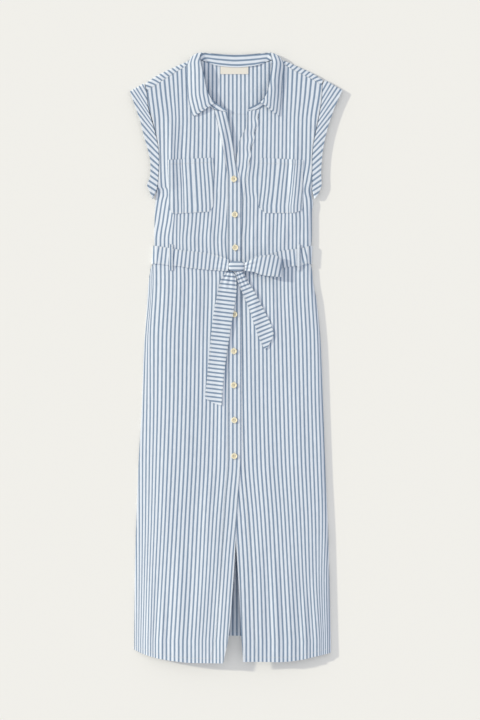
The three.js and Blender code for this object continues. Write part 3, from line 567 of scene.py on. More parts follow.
@dataclass
class Cloth:
    """One cut piece of striped cotton: its grid, its grain, and its flat size, area, how it is held and what it
    rests on, which nothing here reads.
    """

    node: str
    grid: Array
    grain: Array
    flat: tuple[float, float]
    area: float
    held: str = "laid"
    rests_on: tuple[str, ...] = ("back_body",)
    thickness: float = SHELL
    ring: bool = False
    seams: tuple[tuple[tuple[float, float], ...], ...] = ()
    face: int = 1

    def build(self, shop: Workshop) -> bpy.types.Object:
        """Gives the grid its thickness, as a closed wall with the grain map, and hides its node's part.

        The normal at a point is the cross product of the steps across and along the grid. A ring's last
        row lies on its first, and only the grain map keeps both.

        Args:
            shop: the finishes and the shift.

        Returns:
            The piece.
        """
        body = self.grid[:-1] if self.ring else self.grid
        along = np.roll(body, -1, 0) - np.roll(body, 1, 0) if self.ring else np.gradient(body, axis=0)
        normal = np.cross(np.gradient(body, axis=1), along)
        normal /= np.maximum(np.linalg.norm(normal, axis=-1, keepdims=True), 1e-9)
        points = np.concatenate([(body + normal * self.thickness / 2).reshape(-1, 3),
                                 (body - normal * self.thickness / 2).reshape(-1, 3)])
        rows, columns = self.grid.shape[:2]
        ids = np.arange(rows * columns).reshape(rows, columns)
        back = ids + rows * columns
        quads = [corners(ids), corners(back)[:, ::-1],
                 strip(ids[:, 0], back[:, 0]), strip(back[:, -1], ids[:, -1])]
        if not self.ring:
            quads += [strip(back[0], ids[0]), strip(ids[-1], back[-1])]
        loose = np.concatenate(quads)
        places = np.concatenate([self.grain.reshape(-1, 2)] * 2) / 1000
        kept = np.arange(rows * columns).reshape(rows, columns)
        if self.ring:
            kept[-1] = kept[0]
        kept = np.concatenate([kept.ravel(), kept.ravel() + body.shape[0] * columns])
        made = shop.mesh(f"{self.node}_cloth", points, kept[loose], shop.cotton)
        layer = made.data.uv_layers.new(name="grain")
        layer.data.foreach_set("uv", places[loose].ravel())
        made.data.set_sharp_from_angle(angle=math.radians(50))
        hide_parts(self.node)
        sewn = [self.sew(shop, normal)] if self.seams else []
        return made

    def sew(self, shop: Workshop, normal: Array) -> bpy.types.Object:
        """Sews thread stitches along the seams, which are lines in shares of the grid's rows and columns.

        Args:
            shop: the finishes and the shift.
            normal: the cloth's normal at each point of the grid.

        Returns:
            The piece of all stitches.
        """
        outer = self.grid[:len(normal)] + normal * self.face * (self.thickness / 2 - 0.02)
        ends, up = [], []
        for seam in self.seams:
            line = np.array(seam)
            at = np.linspace(0, len(line) - 1, 400 * (len(line) - 1) + 1)
            place = np.stack([np.interp(at, np.arange(len(line)), line[:, k]) for k in (0, 1)], -1)
            path, raised = on_grid(outer, place), on_grid(normal * self.face, place)
            length = np.concatenate([[0], np.cumsum(np.linalg.norm(np.diff(path, axis=0), axis=-1))])
            starts = np.arange(0.5, length[-1] - STITCH, STITCH)
            cuts = np.stack([starts, starts + STITCH * 0.78], -1)
            ends.append(np.stack([np.interp(cuts, length, path[:, k]) for k in range(3)], -1))
            up.append(np.stack([np.interp(starts, length, raised[:, k]) for k in range(3)], -1))
        points, faces = threads(np.concatenate(ends), np.concatenate(up), 0.42, 0.16)
        points[:, 2] = np.maximum(points[:, 2], 0.02)
        made = shop.mesh(f"{self.node}_stitches", points, faces, shop.thread)
        return made


def on_grid(values: Array, place: Array) -> Array:
    """Reads a grid between its points.

    Args:
        values: the grid, with its values on the last axis.
        place: places as shares of its rows and columns, one a row.

    Returns:
        The values there, mixed from the four points round each place.
    """
    last = np.array(values.shape[:2]) - 1
    at = place * last
    low = np.clip(np.floor(at).astype(int), 0, last - 1)
    (i, j), (u, v) = low.T, (at - low).T[..., None]
    return mix(mix(values[i, j], values[i, j + 1], v), mix(values[i + 1, j], values[i + 1, j + 1], v), u)


def threads(ends: Array, up: Array, width: float, rise: float) -> tuple[Array, Array]:
    """Short thread bows, each a square tube through three places, thickest in the middle.

    Args:
        ends: both ends of each bow, by bow, end and axis.
        up: the way that each bow rises.
        width: the thread's width.
        rise: how far the bow's middle rises above its ends.

    Returns:
        The points and the four-sided faces.
    """
    along = ends[:, 1] - ends[:, 0]
    along /= np.linalg.norm(along, axis=-1, keepdims=True)
    side = np.cross(up, along)
    path = np.stack([ends[:, 0], ends.mean(1) + up * rise, ends[:, 1]], 1)
    turn = np.pi / 4 + np.pi / 2 * np.arange(4)[:, None]
    rim = np.cos(turn) * side[:, None] + np.sin(turn) * up[:, None]
    points = path[:, :, None] + rim[:, None] * (np.array([0.7, 1, 0.7]) * width / 2)[:, None, None]
    ids = np.arange(len(ends) * 12).reshape(-1, 3, 4)
    near, far = ids[:, :-1], ids[:, 1:]
    sides = np.stack([near, np.roll(near, -1, -1), np.roll(far, -1, -1), far], -1).reshape(-1, 4)
    return points.reshape(-1, 3), np.concatenate([sides, ids[:, 2], ids[:, 0, ::-1]])


def corners(ids: Array) -> Array:
    """The four corner numbers of every cell of a grid of point numbers, in turning order."""
    return np.stack([ids[:-1, :-1], ids[:-1, 1:], ids[1:, 1:], ids[1:, :-1]], axis=-1).reshape(-1, 4)


def strip(near: Array, far: Array) -> Array:
    """The faces between two lines of point numbers."""
    return np.stack([near[:-1], near[1:], far[1:], far[:-1]], axis=-1)


# Stripes by number: at each height, where each numbered stripe's middle lies along X.
GRAIN = {
    Side.RIGHT: ((-2, 0, 2, 4, 6, 8, 10, 12, 16, 20), (
        (-607.6, (-213.7, -205, -194.9, -183.5, -173.2, -158, -140.8, -123, -87.8, -57.6)),
        (-478.9, (-214, -202.6, -191.7, -180.1, -166.6, -151.1, -133.7, -115.7, -80.5, -49.7)),
        (-350.2, (-215, -201.3, -188.2, -175.4, -160.3, -144, -126.7, -109.3, -74.5, -42.1)),
        (-221.5, (-215.9, -201.1, -186.3, -171.7, -155.4, -138, -120.2, -102.6, -67.9, -33.6)),
        (-92.8, (-212.9, -198.7, -184.6, -168.7, -151.3, -134, -116.2, -98.6, -64.2, -31.4)),
        (35.9, (-206.5, -194.7, -184.8, -167.4, -149.6, -132, -114.2, -96.2, -62.7, -29.7)),
        (164.6, (-197.9, -185.4, -178.8, -161.8, -144.3, -127.7, -110.6, -93.6, -60, -26.3)),
        (250.4, (-210.7, -197.9, -181.1, -162.7, -145.3, -127.9, -114.7, -97.7, -63.8, -31.4)),
        (293.3, (-210.7, -191.4, -174.3, -156.9, -139.3, -127.3, -111.6, -94.5, -60.8, -28.4)),
        (336.2, (-204.3, -186.1, -167.8, -150.5, -134, -124.5, -111, -92.8, -58.5, -25.4)),
        (347, (-206.8, -184.2, -165.6, -147.8, -132.6, -123.7, -111, -92.8, -58.5, -24.6)),
        (359, (-205.4, -184.4, -166.1, -148.3, -133.7, -124.7, -110.8, -92.8, -58.5, -24.3)),
        (364.5, (-207.5, -187.2, -169.3, -151.3, -136.1, -125.2, -110.4, -92.3, -57.8, -24.3)),
        (422, (-207.5, -189.3, -171.1, -154.1, -138.9, -126, -108.9, -90.6, -55.7, -21.1)),
        (507.8, (-209.7, -191.9, -174.3, -155.4, -137.2, -122.4, -105.6, -88.9, -54.4, -19.8)),
        (561.4, (-216.1, -198.3, -180.3, -161, -141.5, -124.3, -106.5, -89.1, -54.2, -19.4)),
        (640, (-225.8, -207.5, -189.3, -168.9, -148.1, -128.2, -108.6, -89.8, -54.2, -19)))),
    Side.LEFT: ((24, 26, 28, 30, 32, 36, 38, 40, 42, 44, 46), (
        (-607.6, (30.1, 47.7, 64.9, 82.7, 100.7, 135.7, 151.3, 165.3, 179.2, 186.9, 195.7)),
        (-478.9, (26.5, 44.1, 60.6, 76.9, 94.7, 127.7, 143.2, 157.6, 171.9, 183.1, 193.6)),
        (-350.2, (19, 36.6, 53.1, 70.5, 88.1, 121.1, 137.6, 154.1, 169.8, 185, 197.9)),
        (-221.5, (9.1, 26.7, 44.1, 61.9, 79.5, 114.2, 131.2, 148.3, 165.5, 181.6, 196.8)),
        (-92.8, (6.3, 23.9, 41.1, 58.5, 75.4, 110.4, 127.5, 144.9, 161.6, 177.5, 190.4)),
        (35.9, (4.6, 22.2, 39.4, 56.9, 73.3, 106.9, 124.5, 141.9, 159.1, 174.9, 183.9)),
        (164.6, (2.5, 20.1, 37.2, 54.8, 71.5, 102.9, 119.4, 136.7, 153.5, 168.7, 178.6)),
        (250.4, (2, 19.6, 36.8, 53.5, 70.5, 103.7, 120.9, 136.5, 153.3, 170, 186.1)),
        (293.3, (4.4, 21.8, 37.2, 54.4, 71.5, 104.8, 120.4, 137, 152.8, 169.6, 186.1)),
        (336.2, (4.2, 22.2, 37.9, 55.2, 72.8, 105.9, 119.6, 133.1, 151.1, 168.5, 186.1)),
        (357, (3.3, 20.9, 35.9, 54.8, 72.8, 105.9, 119.6, 131.6, 147.5, 165.9, 183.9)),
        (379, (2, 19.2, 35.7, 54.8, 72.8, 105.9, 120.9, 135, 151.3, 169.8, 187.4)),
        (422, (7.6, 23.5, 39.8, 56.5, 73.7, 106.7, 123, 140.4, 157.8, 175.4, 192.5)),
        (507.8, (8, 25, 40.9, 58, 75, 108, 124.7, 142.3, 160.3, 179.6, 198.9)),
        (561.4, (8, 25.2, 41.5, 58.5, 75.4, 109.7, 128.2, 147.5, 167.6, 188.2, 207.5)),
        (640, (8, 25.2, 41.9, 58.9, 76, 112.1, 132.5, 153.9, 176.4, 196.8, 216.1)))),
}
POCKET_GRAIN = {
    Side.RIGHT: ((-1, 0, 2, 3, 4, 6, 7, 11), (
        (323.4, (-151.8, -142.7, -124.7, -117, -112.1, -94.9, -82.5, -47.7)),
        (362, (-149.2, -142.1, -126, -117.9, -112.9, -96.6, -84.6, -49.4)),
        (413.4, (-148.8, -142.3, -127.9, -120.7, -115.9, -99.2, -87.6, -53.9)))),
    Side.LEFT: ((0, 3, 4, 6, 7, 8, 9, 11), (
        (323.4, (49.4, 75, 86.3, 103.3, 112.9, 117.4, 123.7, 138.5)),
        (362, (53.9, 79.5, 90, 106.7, 117.2, 121.5, 127.3, 142.1)),
        (413.4, (57.6, 83.5, 95.6, 111.4, 121.7, 125.8, 131.2, 147.5)))),
}


def striped(table: tuple, x: Array, y: Array) -> Array:
    """Where points of a front or a pocket lie on the striped fabric.

    A few stripes are given by their number and their place at several heights. At each height their places
    come from smooth curves, and between them a smooth rising curve gives the number at any X.

    Args:
        table: the stripes' numbers, and rows of a height with their places along X.
        x: places along X.
        y: places along Y.

    Returns:
        The distance across the stripes and along them, in millimetres.
    """
    numbers, rows = table
    levels = np.array([row[0] for row in rows])
    places = np.array([row[1] for row in rows])
    paths = np.stack([smooth_read(levels, places[:, k], y) for k in range(len(numbers))], axis=-1)
    count = np.array(numbers, float)
    spans = np.diff(paths, axis=-1)
    slopes = np.diff(count) / spans
    inner = 2 * slopes[..., :-1] * slopes[..., 1:] / (slopes[..., :-1] + slopes[..., 1:])
    tangents = np.concatenate([slopes[..., :1], inner, slopes[..., -1:]], axis=-1)
    i = np.clip((x[..., None] >= paths).sum(-1) - 1, 0, len(numbers) - 2)[..., None]

    def pick(values: Array, at: Array) -> Array:
        """The value at each point's own place in the list."""
        return np.take_along_axis(values, at, axis=-1)[..., 0]

    span = pick(spans, i)
    t = (x - pick(paths, i)) / span
    inside = np.clip(t, 0.0, 1.0)
    square, cube = inside ** 2, inside ** 3
    number = (count[i[..., 0]] * (2 * cube - 3 * square + 1) + count[i[..., 0] + 1] * (3 * square - 2 * cube)
              + pick(tangents, i) * span * (cube - 2 * square + inside)
              + pick(tangents, i + 1) * span * (cube - square))
    beyond = (t - inside) * span * np.where(t < 0, pick(tangents, i), pick(tangents, i + 1))
    return np.stack([(number + beyond + 0.5) * PITCH, y + 0 * x], axis=-1)


@dataclass
class Fronts:
    """The two fronts, each cut in one length from the shoulder to the hem, and their plackets."""

    rows: int = 300
    columns: int = 90
    placket_columns: int = 14
    drift: Table = Table("y mm", ((383, 0), (405, 0.2), (443, 2.3), (482, 4.1), (520, 4.6)))

    def shoulder(self, side: Side) -> Table:
        """The forward shoulder seam's points on one side."""
        low, high = (-200, -89) if side is Side.RIGHT else (89, 200)
        return YOKE.where("endX", low, high)

    def grid(self, side: Side) -> Array:
        """A front ruled between its side edge and its placket seam or neckline, from hem to shoulder.

        Each level is a line from the side edge or armhole to the seam. The hem and the shoulder seam bend
        the lines near both ends, and the height is the front's own at every point.

        Args:
            side: which front.

        Returns:
            Points, rows rising from the hem and columns along X.
        """
        level = np.linspace(HEM_Y, SHOULDER_LEVEL, self.rows)[:, None]
        s = np.linspace(0, 1, self.columns)[None, :]
        s = s if side is Side.RIGHT else 1 - s
        shoulder = self.shoulder(side)
        ends = shoulder.column("endY")
        top = ends[0] if side is Side.RIGHT else ends[-1]
        above = np.clip((level - UNDERARM_Y) / (SHOULDER_LEVEL - UNDERARM_Y), 0, 1)
        out_y = np.where(level <= UNDERARM_Y, level, mix(UNDERARM_Y, top - SEAM_GAP, above))
        seam = PLACKET_SEAM[side]
        neck = NECKLINE.where("c", -0.94, -0.4) if side is Side.RIGHT else NECKLINE.where("c", 0.4, 0.94).turned()
        in_x = np.where(level <= seam.column("y")[-1], seam.read("y", "x", level), neck.read("y", "x", level))
        x = mix(EDGE[side].read("y", "x", out_y), in_x + side.value * SEAM_GAP, s)
        y = mix(out_y, level, s)
        y = y + (FRONT_HEM[side].read("x", "y", x) - HEM_Y) * ease((-280 - level) / 375)
        straight = mix(top, SHOULDER_LEVEL + SEAM_GAP, s)
        y = y + (shoulder.read("endX", "endY", x) - straight) * ease((level - 470) / 163)
        rise = placket_rise(x, y) if side is Side.RIGHT else 0.0
        return np.stack([x, y, front_height(x, y) + rise], axis=-1)

    def placket_grid(self, side: Side) -> tuple[Array, Array]:
        """A placket between its seam and its free edge, raised one layer where it lies on top.

        Args:
            side: which placket; the right one lies on top.

        Returns:
            Its points and its grain, which runs across from the seam.
        """
        seam, edge = PLACKET_SEAM[side], PLACKET_EDGE[side]
        seam_top, edge_top = seam.column("y")[-1], edge.column("y")[-1]
        level = np.linspace(HEM_Y, seam_top, self.rows)[:, None]
        s = np.linspace(0, 1, self.placket_columns)[None, :]
        s = s if side is Side.RIGHT else 1 - s
        seam_x, edge_x = seam.read("y", "x", level), edge.read("y", "x", level)
        x = mix(seam_x, edge_x, s)
        drop = (edge_top - seam_top) * s * ease((level - 440) / (seam_top - 440))
        y = level + drop - (HEM_Y - FRONT_HEM[side].read("x", "y", x)) * ease((-280 - level) / 375)
        raised = STEP if side is Side.RIGHT else 0.0
        if side is Side.LEFT:
            grain = striped(GRAIN[side], x, y)
            free = ease((level - 395) / 40) * (1 - s) ** 2
            x = x + 1.6 * free * np.sin(level / 5.2)
            return np.stack([x, y, front_height(x, y) + 1.1 * free * np.sin(level / 6.1 + 1)], axis=-1), grain
        points = np.stack([x, y, front_height(x, y) + raised], axis=-1)
        across = x - seam_x - 11.8 - self.drift.read("y", "mm", level) + PITCH / 2 + 10 * PITCH
        panel = striped(GRAIN[side], x, y)[..., 0] - 13 * PITCH
        return points, np.stack([mix(panel, across, ease((level + 430) / 150)), y], axis=-1)

    def build(self, shop: Workshop) -> None:
        """Builds both fronts and both plackets."""
        for side, area in ((Side.RIGHT, 0.214), (Side.LEFT, 0.199)):
            points = self.grid(side)
            out = 0 if side is Side.RIGHT else 1
            seams = (((0.0078, 0.01), (0.0078, 0.99)),
                     ((0.79, abs(out - 0.02)), (0.9, abs(out - 0.02)), (0.99, abs(out - 0.025))))
            Cloth(f"front_{side.word}", points, striped(GRAIN[side], points[..., 0], points[..., 1]),
                  flat=(0.24, 1.29), area=area, seams=seams).build(shop)
        for side, name in ((Side.LEFT, "placket_under"), (Side.RIGHT, "placket_top")):
            points, grain = self.placket_grid(side)
            seams = (((0.005, 0.08), (0.995, 0.08)), ((0.005, 0.92), (0.995, 0.92)),
                     ((0.009, 0.04), (0.009, 0.96)))
            Cloth(name, points, grain, flat=(0.032, 1.19), area=0.034, rests_on=("back_body",),
                  seams=seams).build(shop)


@dataclass
class Back:
    """The back from the yoke seam to the hem, flat on the surface and lifted only over the belt."""

    rows: int = 160
    columns: int = 70

    def build(self, shop: Workshop) -> None:
        """Builds the back, ruled between the side edges, with its curved hem."""
        top = YOKE_SEAM_Y - SEAM_GAP
        t = np.linspace(1, 0, self.rows)[:, None]
        s = np.linspace(0, 1, self.columns)[None, :]
        rough = mix(EDGE[Side.RIGHT].column("x")[0], EDGE[Side.LEFT].column("x")[0], s)
        y = mix(top, BACK_HEM.read("x", "y", rough), t)
        x = mix(EDGE[Side.RIGHT].read("y", "x", y), EDGE[Side.LEFT].read("y", "x", y), s)
        points = np.stack([x, y, back_height(y) + neck_lift(x, y)], axis=-1)
        grain = np.stack([x + PITCH * 0.35, y], axis=-1)
        Cloth("back_body", points, grain, flat=(0.43, 1.14), area=0.44, rests_on=(),
              seams=(((0.009, 0.005), (0.009, 0.995)),)).build(shop)


@dataclass
class Yoke:
    """The back yoke: up the back, round the shoulder fold and down to the forward shoulder seams."""

    across: int = 121
    steps: int = 40

    def controls(self, at: Array) -> Array:
        """The points that each column of the yoke passes: seam, middle, round the fold, and end.

        Args:
            at: places in the order of the yoke's table.

        Returns:
            Points by column, place in the column and axis.
        """
        read = {name: YOKE.by_index(name, at) for name in YOKE.names.split()}
        level = np.full_like(at, CLOTH / 2)
        seam = np.stack([read["seamX"], np.full_like(at, YOKE_SEAM_Y), level], -1)
        fold = np.stack([read["foldX"], read["foldY"], read["low"]], -1)
        end = np.stack([read["endX"], read["endY"], read["endZ"]], -1)
        radius = (np.maximum(read["endZ"], 7) - read["low"]) / 2
        back = (fold - seam) * (1, 1, 0)
        back = -back / np.linalg.norm(back, axis=-1, keepdims=True) * radius[:, None]
        turned = []
        for share, lift in ((1.0, 0.0), (0.25, 0.35), (0.0, 1.0), (0.25, 1.65)):
            place = fold + back * share
            place[:, 2] = read["low"] + radius * lift
            turned.append(place)
        for k, t in enumerate((0.8, 0.86, 0.92, 0.96)):
            plain = mix(seam, end, t)
            plain[:, 2] = mix(read["low"], read["endZ"], t ** 8)
            turned[k] = mix(plain, turned[k], read["wrap"][:, None])
        middle = mix(seam, fold, 0.4)
        middle[:, 2] = CLOTH / 2
        return np.stack([seam, middle, *turned, end], axis=1)

    def build(self, shop: Workshop) -> None:
        """Builds the yoke. Past the shoulder fold its stripes are mirrored about the fold's line."""
        at = np.linspace(0, len(YOKE.rows) - 1, self.across)
        curve = rounded(self.controls(at), 12)
        shares = 1 - (1 - np.linspace(0, 1, self.steps)) ** 1.6
        points = evenly(curve, shares)
        rise = neck_lift(points[..., 0], points[..., 1]) * (points[..., 2] < 4.2)
        points[..., 2] = np.maximum(points[..., 2], CLOTH / 2) + rise
        fold = np.stack([YOKE.by_index("foldX", at), YOKE.by_index("foldY", at)], -1)
        run = np.gradient(fold, axis=0)
        run /= np.linalg.norm(run, axis=-1, keepdims=True)
        out = np.stack([-run[:, 1], run[:, 0]], -1)
        flat = points[..., :2]
        past = ((flat - fold[:, None]) * out[:, None]).sum(-1)
        high = points[..., 2] > YOKE.by_index("low", at)[:, None] + 3.2
        mirrored = high & (YOKE.by_index("wrap", at)[:, None] > 0.5)
        turned = flat - 2 * past[..., None] * out[:, None] * mirrored[..., None]
        grain = np.stack([turned[..., 0] + PITCH * 0.35, turned[..., 1]], -1)
        seams = (((0.01, 0.975), (0.25, 0.975)), ((0.75, 0.975), (0.99, 0.975)))
        Cloth("back_yoke", points, grain, flat=(0.40, 0.14), area=0.045, rests_on=("back_body",),
              seams=seams).build(shop)


def rounded(points: Array, parts: int) -> Array:
    """A smooth curve through points that keeps close to them: a centripetal Catmull-Rom spline.

    Each span's tangents weigh its neighbours by the square root of their distances.

    Args:
        points: curves by rows, their points, and axes.
        parts: steps in each span.

    Returns:
        The curves, with more points.
    """
    first = 2 * points[:, :1] - points[:, 1:2]
    last = 2 * points[:, -1:] - points[:, -2:-1]
    full = np.concatenate([first, points, last], axis=1)
    gaps = np.maximum(np.linalg.norm(np.diff(full, axis=1), axis=-1, keepdims=True) ** 0.5, 1e-3)
    slope = np.diff(full, axis=1) / gaps
    both = (full[:, 2:] - full[:, :-2]) / (gaps[:, :-1] + gaps[:, 1:])
    tangent = slope[:, :-1] - both + slope[:, 1:]
    t = (np.arange(parts) / parts)[None, None, :, None]
    start, end = points[:, :-1, None], points[:, 1:, None]
    span = gaps[:, 1:-1, None]
    leave, arrive = tangent[:, :-1, None] * span, tangent[:, 1:, None] * span
    curve = (start * (2 * t ** 3 - 3 * t ** 2 + 1) + end * (3 * t ** 2 - 2 * t ** 3)
             + leave * (t ** 3 - 2 * t ** 2 + t) + arrive * (t ** 3 - t ** 2))
    return np.concatenate([curve.reshape(len(points), -1, 3), points[:, -1:]], axis=1)


def evenly(curves: Array, shares: Array) -> Array:
    """Reads curves at shares of their length.

    Args:
        curves: curves by rows, their points, and axes.
        shares: rising shares from 0 to 1.

    Returns:
        The points there, by curve and share.
    """
    steps = np.linalg.norm(np.diff(curves, axis=1), axis=-1)
    length = np.concatenate([np.zeros((len(curves), 1)), np.cumsum(steps, axis=1)], axis=1)
    length /= length[:, -1:]
    return np.stack([np.stack([np.interp(shares, length[k], curves[k, :, axis]) for axis in range(3)], -1)
                     for k in range(len(curves))])


@dataclass
class Sleeves:
    """The cap sleeves: flattened tubes from the armhole out to their open edge."""

    runs: int = 60
    turns: int = 12
    columns: int = 14
    arm_height: float = 7.5
    open_height: float = 7.0
    slants: Table = Table("y angle", ((339, 30), (380, 37), (450, 48), (530, 58), (600, 62)))

    def grid(self, side: Side) -> Array:
        """A ring from the shoulder fold down the front, under at the underarm and back up behind.

        Args:
            side: which sleeve.

        Returns:
            Points, with the ring's last row on its first.
        """
        arm, open_ = EDGE[side], SLEEVE_EDGE[side]
        arm_top, arm_bottom = arm.column("y")[-1], UNDERARM_Y + 2
        open_top, open_bottom = open_.column("y")[-1], open_.column("y")[0]
        down = np.linspace(0, 1, self.runs + 1)
        bend = np.pi / 2 - np.pi * np.arange(1, self.turns) / self.turns
        run = np.concatenate([down, np.ones(len(bend)), 1 - down, np.zeros(len(bend)), [0]])[:, None]
        turn = np.concatenate([np.full(len(down), np.pi / 2), bend, np.full(len(down), -np.pi / 2), -bend,
                               [np.pi / 2]])[:, None]
        s = np.linspace(0, 1, self.columns)[None, :]
        radius = (mix(self.arm_height, self.open_height, s) - CLOTH / 2) / 2
        top, bottom = mix(arm_top, open_top, s), mix(arm_bottom, open_bottom, s)
        reach = radius * np.cos(turn) * np.where(run == 1, -1, 1)
        y = mix(top - radius, bottom + radius, run) + reach
        share = (top - y) / (top - bottom)
        clear = side.value * (SEAM_GAP + 0.8)
        arm_x = arm.read("y", "x", mix(arm_top, arm_bottom, share)) + clear
        x = mix(arm_x, open_.read("y", "x", mix(open_top, open_bottom, share)), s)
        points = np.stack([x, y, CLOTH / 2 + radius + radius * np.sin(turn) + 0 * x], axis=-1)
        return points[::-1] if side is Side.RIGHT else points

    def grain(self, side: Side, points: Array) -> Array:
        """Slanting stripes that lean further over towards the underarm.

        A point's stripe meets the armhole at a height found by a few corrections. The distance across the
        stripes grows with that height by the cosine of their slant.

        Args:
            side: which sleeve.
            points: the sleeve's points.

        Returns:
            The distance across the stripes and along them.
        """
        x, y = points[..., 0], points[..., 1]
        arm = EDGE[side]
        start = y
        for _ in range(6):
            out = np.abs(x) - np.abs(arm.read("y", "x", start))
            start = y - out * np.tan(np.radians(self.slants.read("y", "angle", start)))
        heights = np.linspace(250, 650, 401)
        across = np.cumsum(np.cos(np.radians(self.slants.read("y", "angle", heights))))
        return np.stack([np.interp(start, heights, across), np.abs(x) * 1.5], axis=-1)

    def build(self, shop: Workshop) -> None:
        """Builds both sleeves."""
        for side in Side:
            points = self.grid(side)
            first, last = (0.59, 0.995) if side is Side.RIGHT else (0.005, 0.41)
            Cloth(f"sleeve_{side.word}", points, self.grain(side, points), flat=(0.46, 0.045), area=0.0115,
                  rests_on=("back_body",), ring=True, seams=(((first, 0.8), (last, 0.8)),), face=-1).build(shop)


@dataclass
class Collar:
    """The shirt collar: a stand that rises from the neckline and a leaf that turns over it."""

    sections: int = 180
    stand_steps: int = 12
    leaf_steps: int = 26

    def build(self, shop: Workshop) -> None:
        """Builds the stand, a ruled strip, and the leaf, a parabola over the fold at every section."""
        c = np.linspace(-1, 1, self.sections)
        base = np.stack([NECKLINE.read("c", name, c) for name in "xyz"], -1)
        base = base + np.outer(ease((0.3 - np.abs(c)) / 0.12), (0, -3.2, 2.4))
        top = self.line("fold", c) - (0, 0, 0.2)
        clear = (top - base) / np.linalg.norm(top - base, axis=-1, keepdims=True) * (SEAM_GAP + CLOTH * 1.1)
        t = np.linspace(0, 1, self.stand_steps)[None, :, None]
        points = mix((base + clear)[:, None], top[:, None], t)[::-1]
        grain = self.grain(points, PITCH * 0.35, 0.9)
        Cloth("collar_stand", points, grain, flat=(0.44, 0.034), area=0.0078, held="folded",
              rests_on=("front_right", "front_left", "back_yoke")).build(shop)
        c = np.linspace(-LEAF_END, LEAF_END, self.sections)
        fold, bend, edge = self.line("fold", c), self.line("bend", c), self.line("edge", c)
        clear = (bend - fold) / np.linalg.norm(bend - fold, axis=-1, keepdims=True) * (SEAM_GAP + CLOTH * 0.6)
        clear[:, 2] = 0.9
        start = (fold + clear)[:, None]
        t = (np.linspace(0, 1, self.leaf_steps) ** 1.25)[None, :, None]
        points = start * (1 - t) ** 2 + bend[:, None] * 2 * t * (1 - t) + edge[:, None] * t ** 2
        grain = self.grain(points, PITCH * 0.5)
        seams = (((0.02, 0.08), (0.02, 0.92), (0.98, 0.92), (0.98, 0.08)),)
        Cloth("collar_leaf", points, grain, flat=(0.62, 0.075), area=0.0175, held="folded",
              rests_on=("front_right", "front_left", "back_yoke", "collar_stand"), seams=seams,
              face=-1).build(shop)

    def line(self, name: str, c: Array) -> Array:
        """One of the collar's lines, by its name in the table."""
        return np.stack([COLLAR.read("c", f"{name}{axis}", c) for axis in "XYZ"], -1)

    def grain(self, points: Array, offset: float, scale: float = 1.0) -> Array:
        """Stripes along the collar: across is the distance in from the outer edge, and along its length."""
        back = points[:, ::-1]
        steps = np.linalg.norm(np.diff(back, axis=1), axis=-1)
        across = np.concatenate([np.zeros((len(points), 1)), np.cumsum(steps, axis=1)], axis=1)[:, ::-1]
        length = np.cumsum(np.linalg.norm(np.gradient(points, axis=0), axis=-1), axis=0)
        return np.stack([across * scale + offset, length], axis=-1)


@dataclass
class Pockets:
    """Patch pockets on the chest, with their stripes a little off the fronts'."""

    columns: int = 50
    rows: int = 60
    corners: dict[Side, Table] = field(default_factory=lambda: {
        Side.RIGHT: Table("y0 x0 y1 x1", ((306, -135, 311, -59), (320, -144, 324, -50),
                                          (362, -144.5, 364, -49), (402, -145.5, 405, -48.5),
                                          (422, -146, 427, -51))),
        Side.LEFT: Table("y0 x0 y1 x1", ((308, 62, 308, 124), (326, 47, 318, 142), (362, 48, 360, 142.3),
                                         (402, 49.5, 400, 142.8), (427, 51, 422, 143)))})

    def build(self, shop: Workshop) -> None:
        """Builds both pockets from the fronts' points, moved out by one layer."""
        for side, table in self.corners.items():
            at = np.linspace(0, len(table.rows) - 1, self.rows)[:, None]
            s = np.linspace(0, 1, self.columns)[None, :]
            x = mix(table.by_index("x0", at), table.by_index("x1", at), s)
            y = mix(table.by_index("y0", at), table.by_index("y1", at), s)
            hem = 0.4 * ease((at / (len(table.rows) - 1) - 0.86) / 0.02)
            points = on_front(x, y, STEP + 0.15 + hem)
            grain = striped(POCKET_GRAIN[side], x, y)
            seams = (((0.99, 0.025), (0.25, 0.025), (0.03, 0.04), (0.03, 0.96), (0.25, 0.975), (0.99, 0.975)),
                     ((0.88, 0.03), (0.88, 0.97)))
            Cloth(f"pocket_{side.word}", points, grain, flat=(0.097, 0.12), area=0.0112,
                  rests_on=(f"front_{side.word}",), seams=seams).build(shop)


ON_CLOTH = CLOTH / 2 + SEAM_GAP + BELT_CLOTH / 2 + 0.15
BELT_STRETCH = {
    Side.RIGHT: Table("x0 y0 x1 y1 lift", (
        (-169.5, 238, -171.5, 199.5, ON_CLOTH + 0.4), (-160, 236, -161, 198, ON_CLOTH),
        (-142, 233, -142, 196, ON_CLOTH),
        (-125, 230, -125, 194, ON_CLOTH), (-100, 227, -100, 190, ON_CLOTH), (-70, 224, -70, 187, ON_CLOTH),
        (-46, 219, -46, 185, ON_CLOTH + 0.3), (-30, 214, -30, 184, ON_CLOTH + 1),
        (-16.6, 208, -16.6, 184, ON_CLOTH + 2.4))),
    Side.LEFT: Table("x0 y0 x1 y1 lift", (
        (17.6, 203, 17.6, 184.5, ON_CLOTH + 0.6), (30, 208, 30, 185, ON_CLOTH + 0.3), (45, 213, 45, 185.5, ON_CLOTH),
        (68, 220, 68, 187, ON_CLOTH), (96, 227, 96, 190, ON_CLOTH), (115, 230, 115, 193, ON_CLOTH),
        (127, 231, 127, 194.5, ON_CLOTH), (140, 233, 140, 196, ON_CLOTH), (154, 237, 151.5, 199.5, ON_CLOTH + 0.4))),
}
BELT_TURN = Table("out z", ((-14, 0.75), (0, 0.75), (2.2, 2.2), (2.6, 4), (1.4, 5.8)))
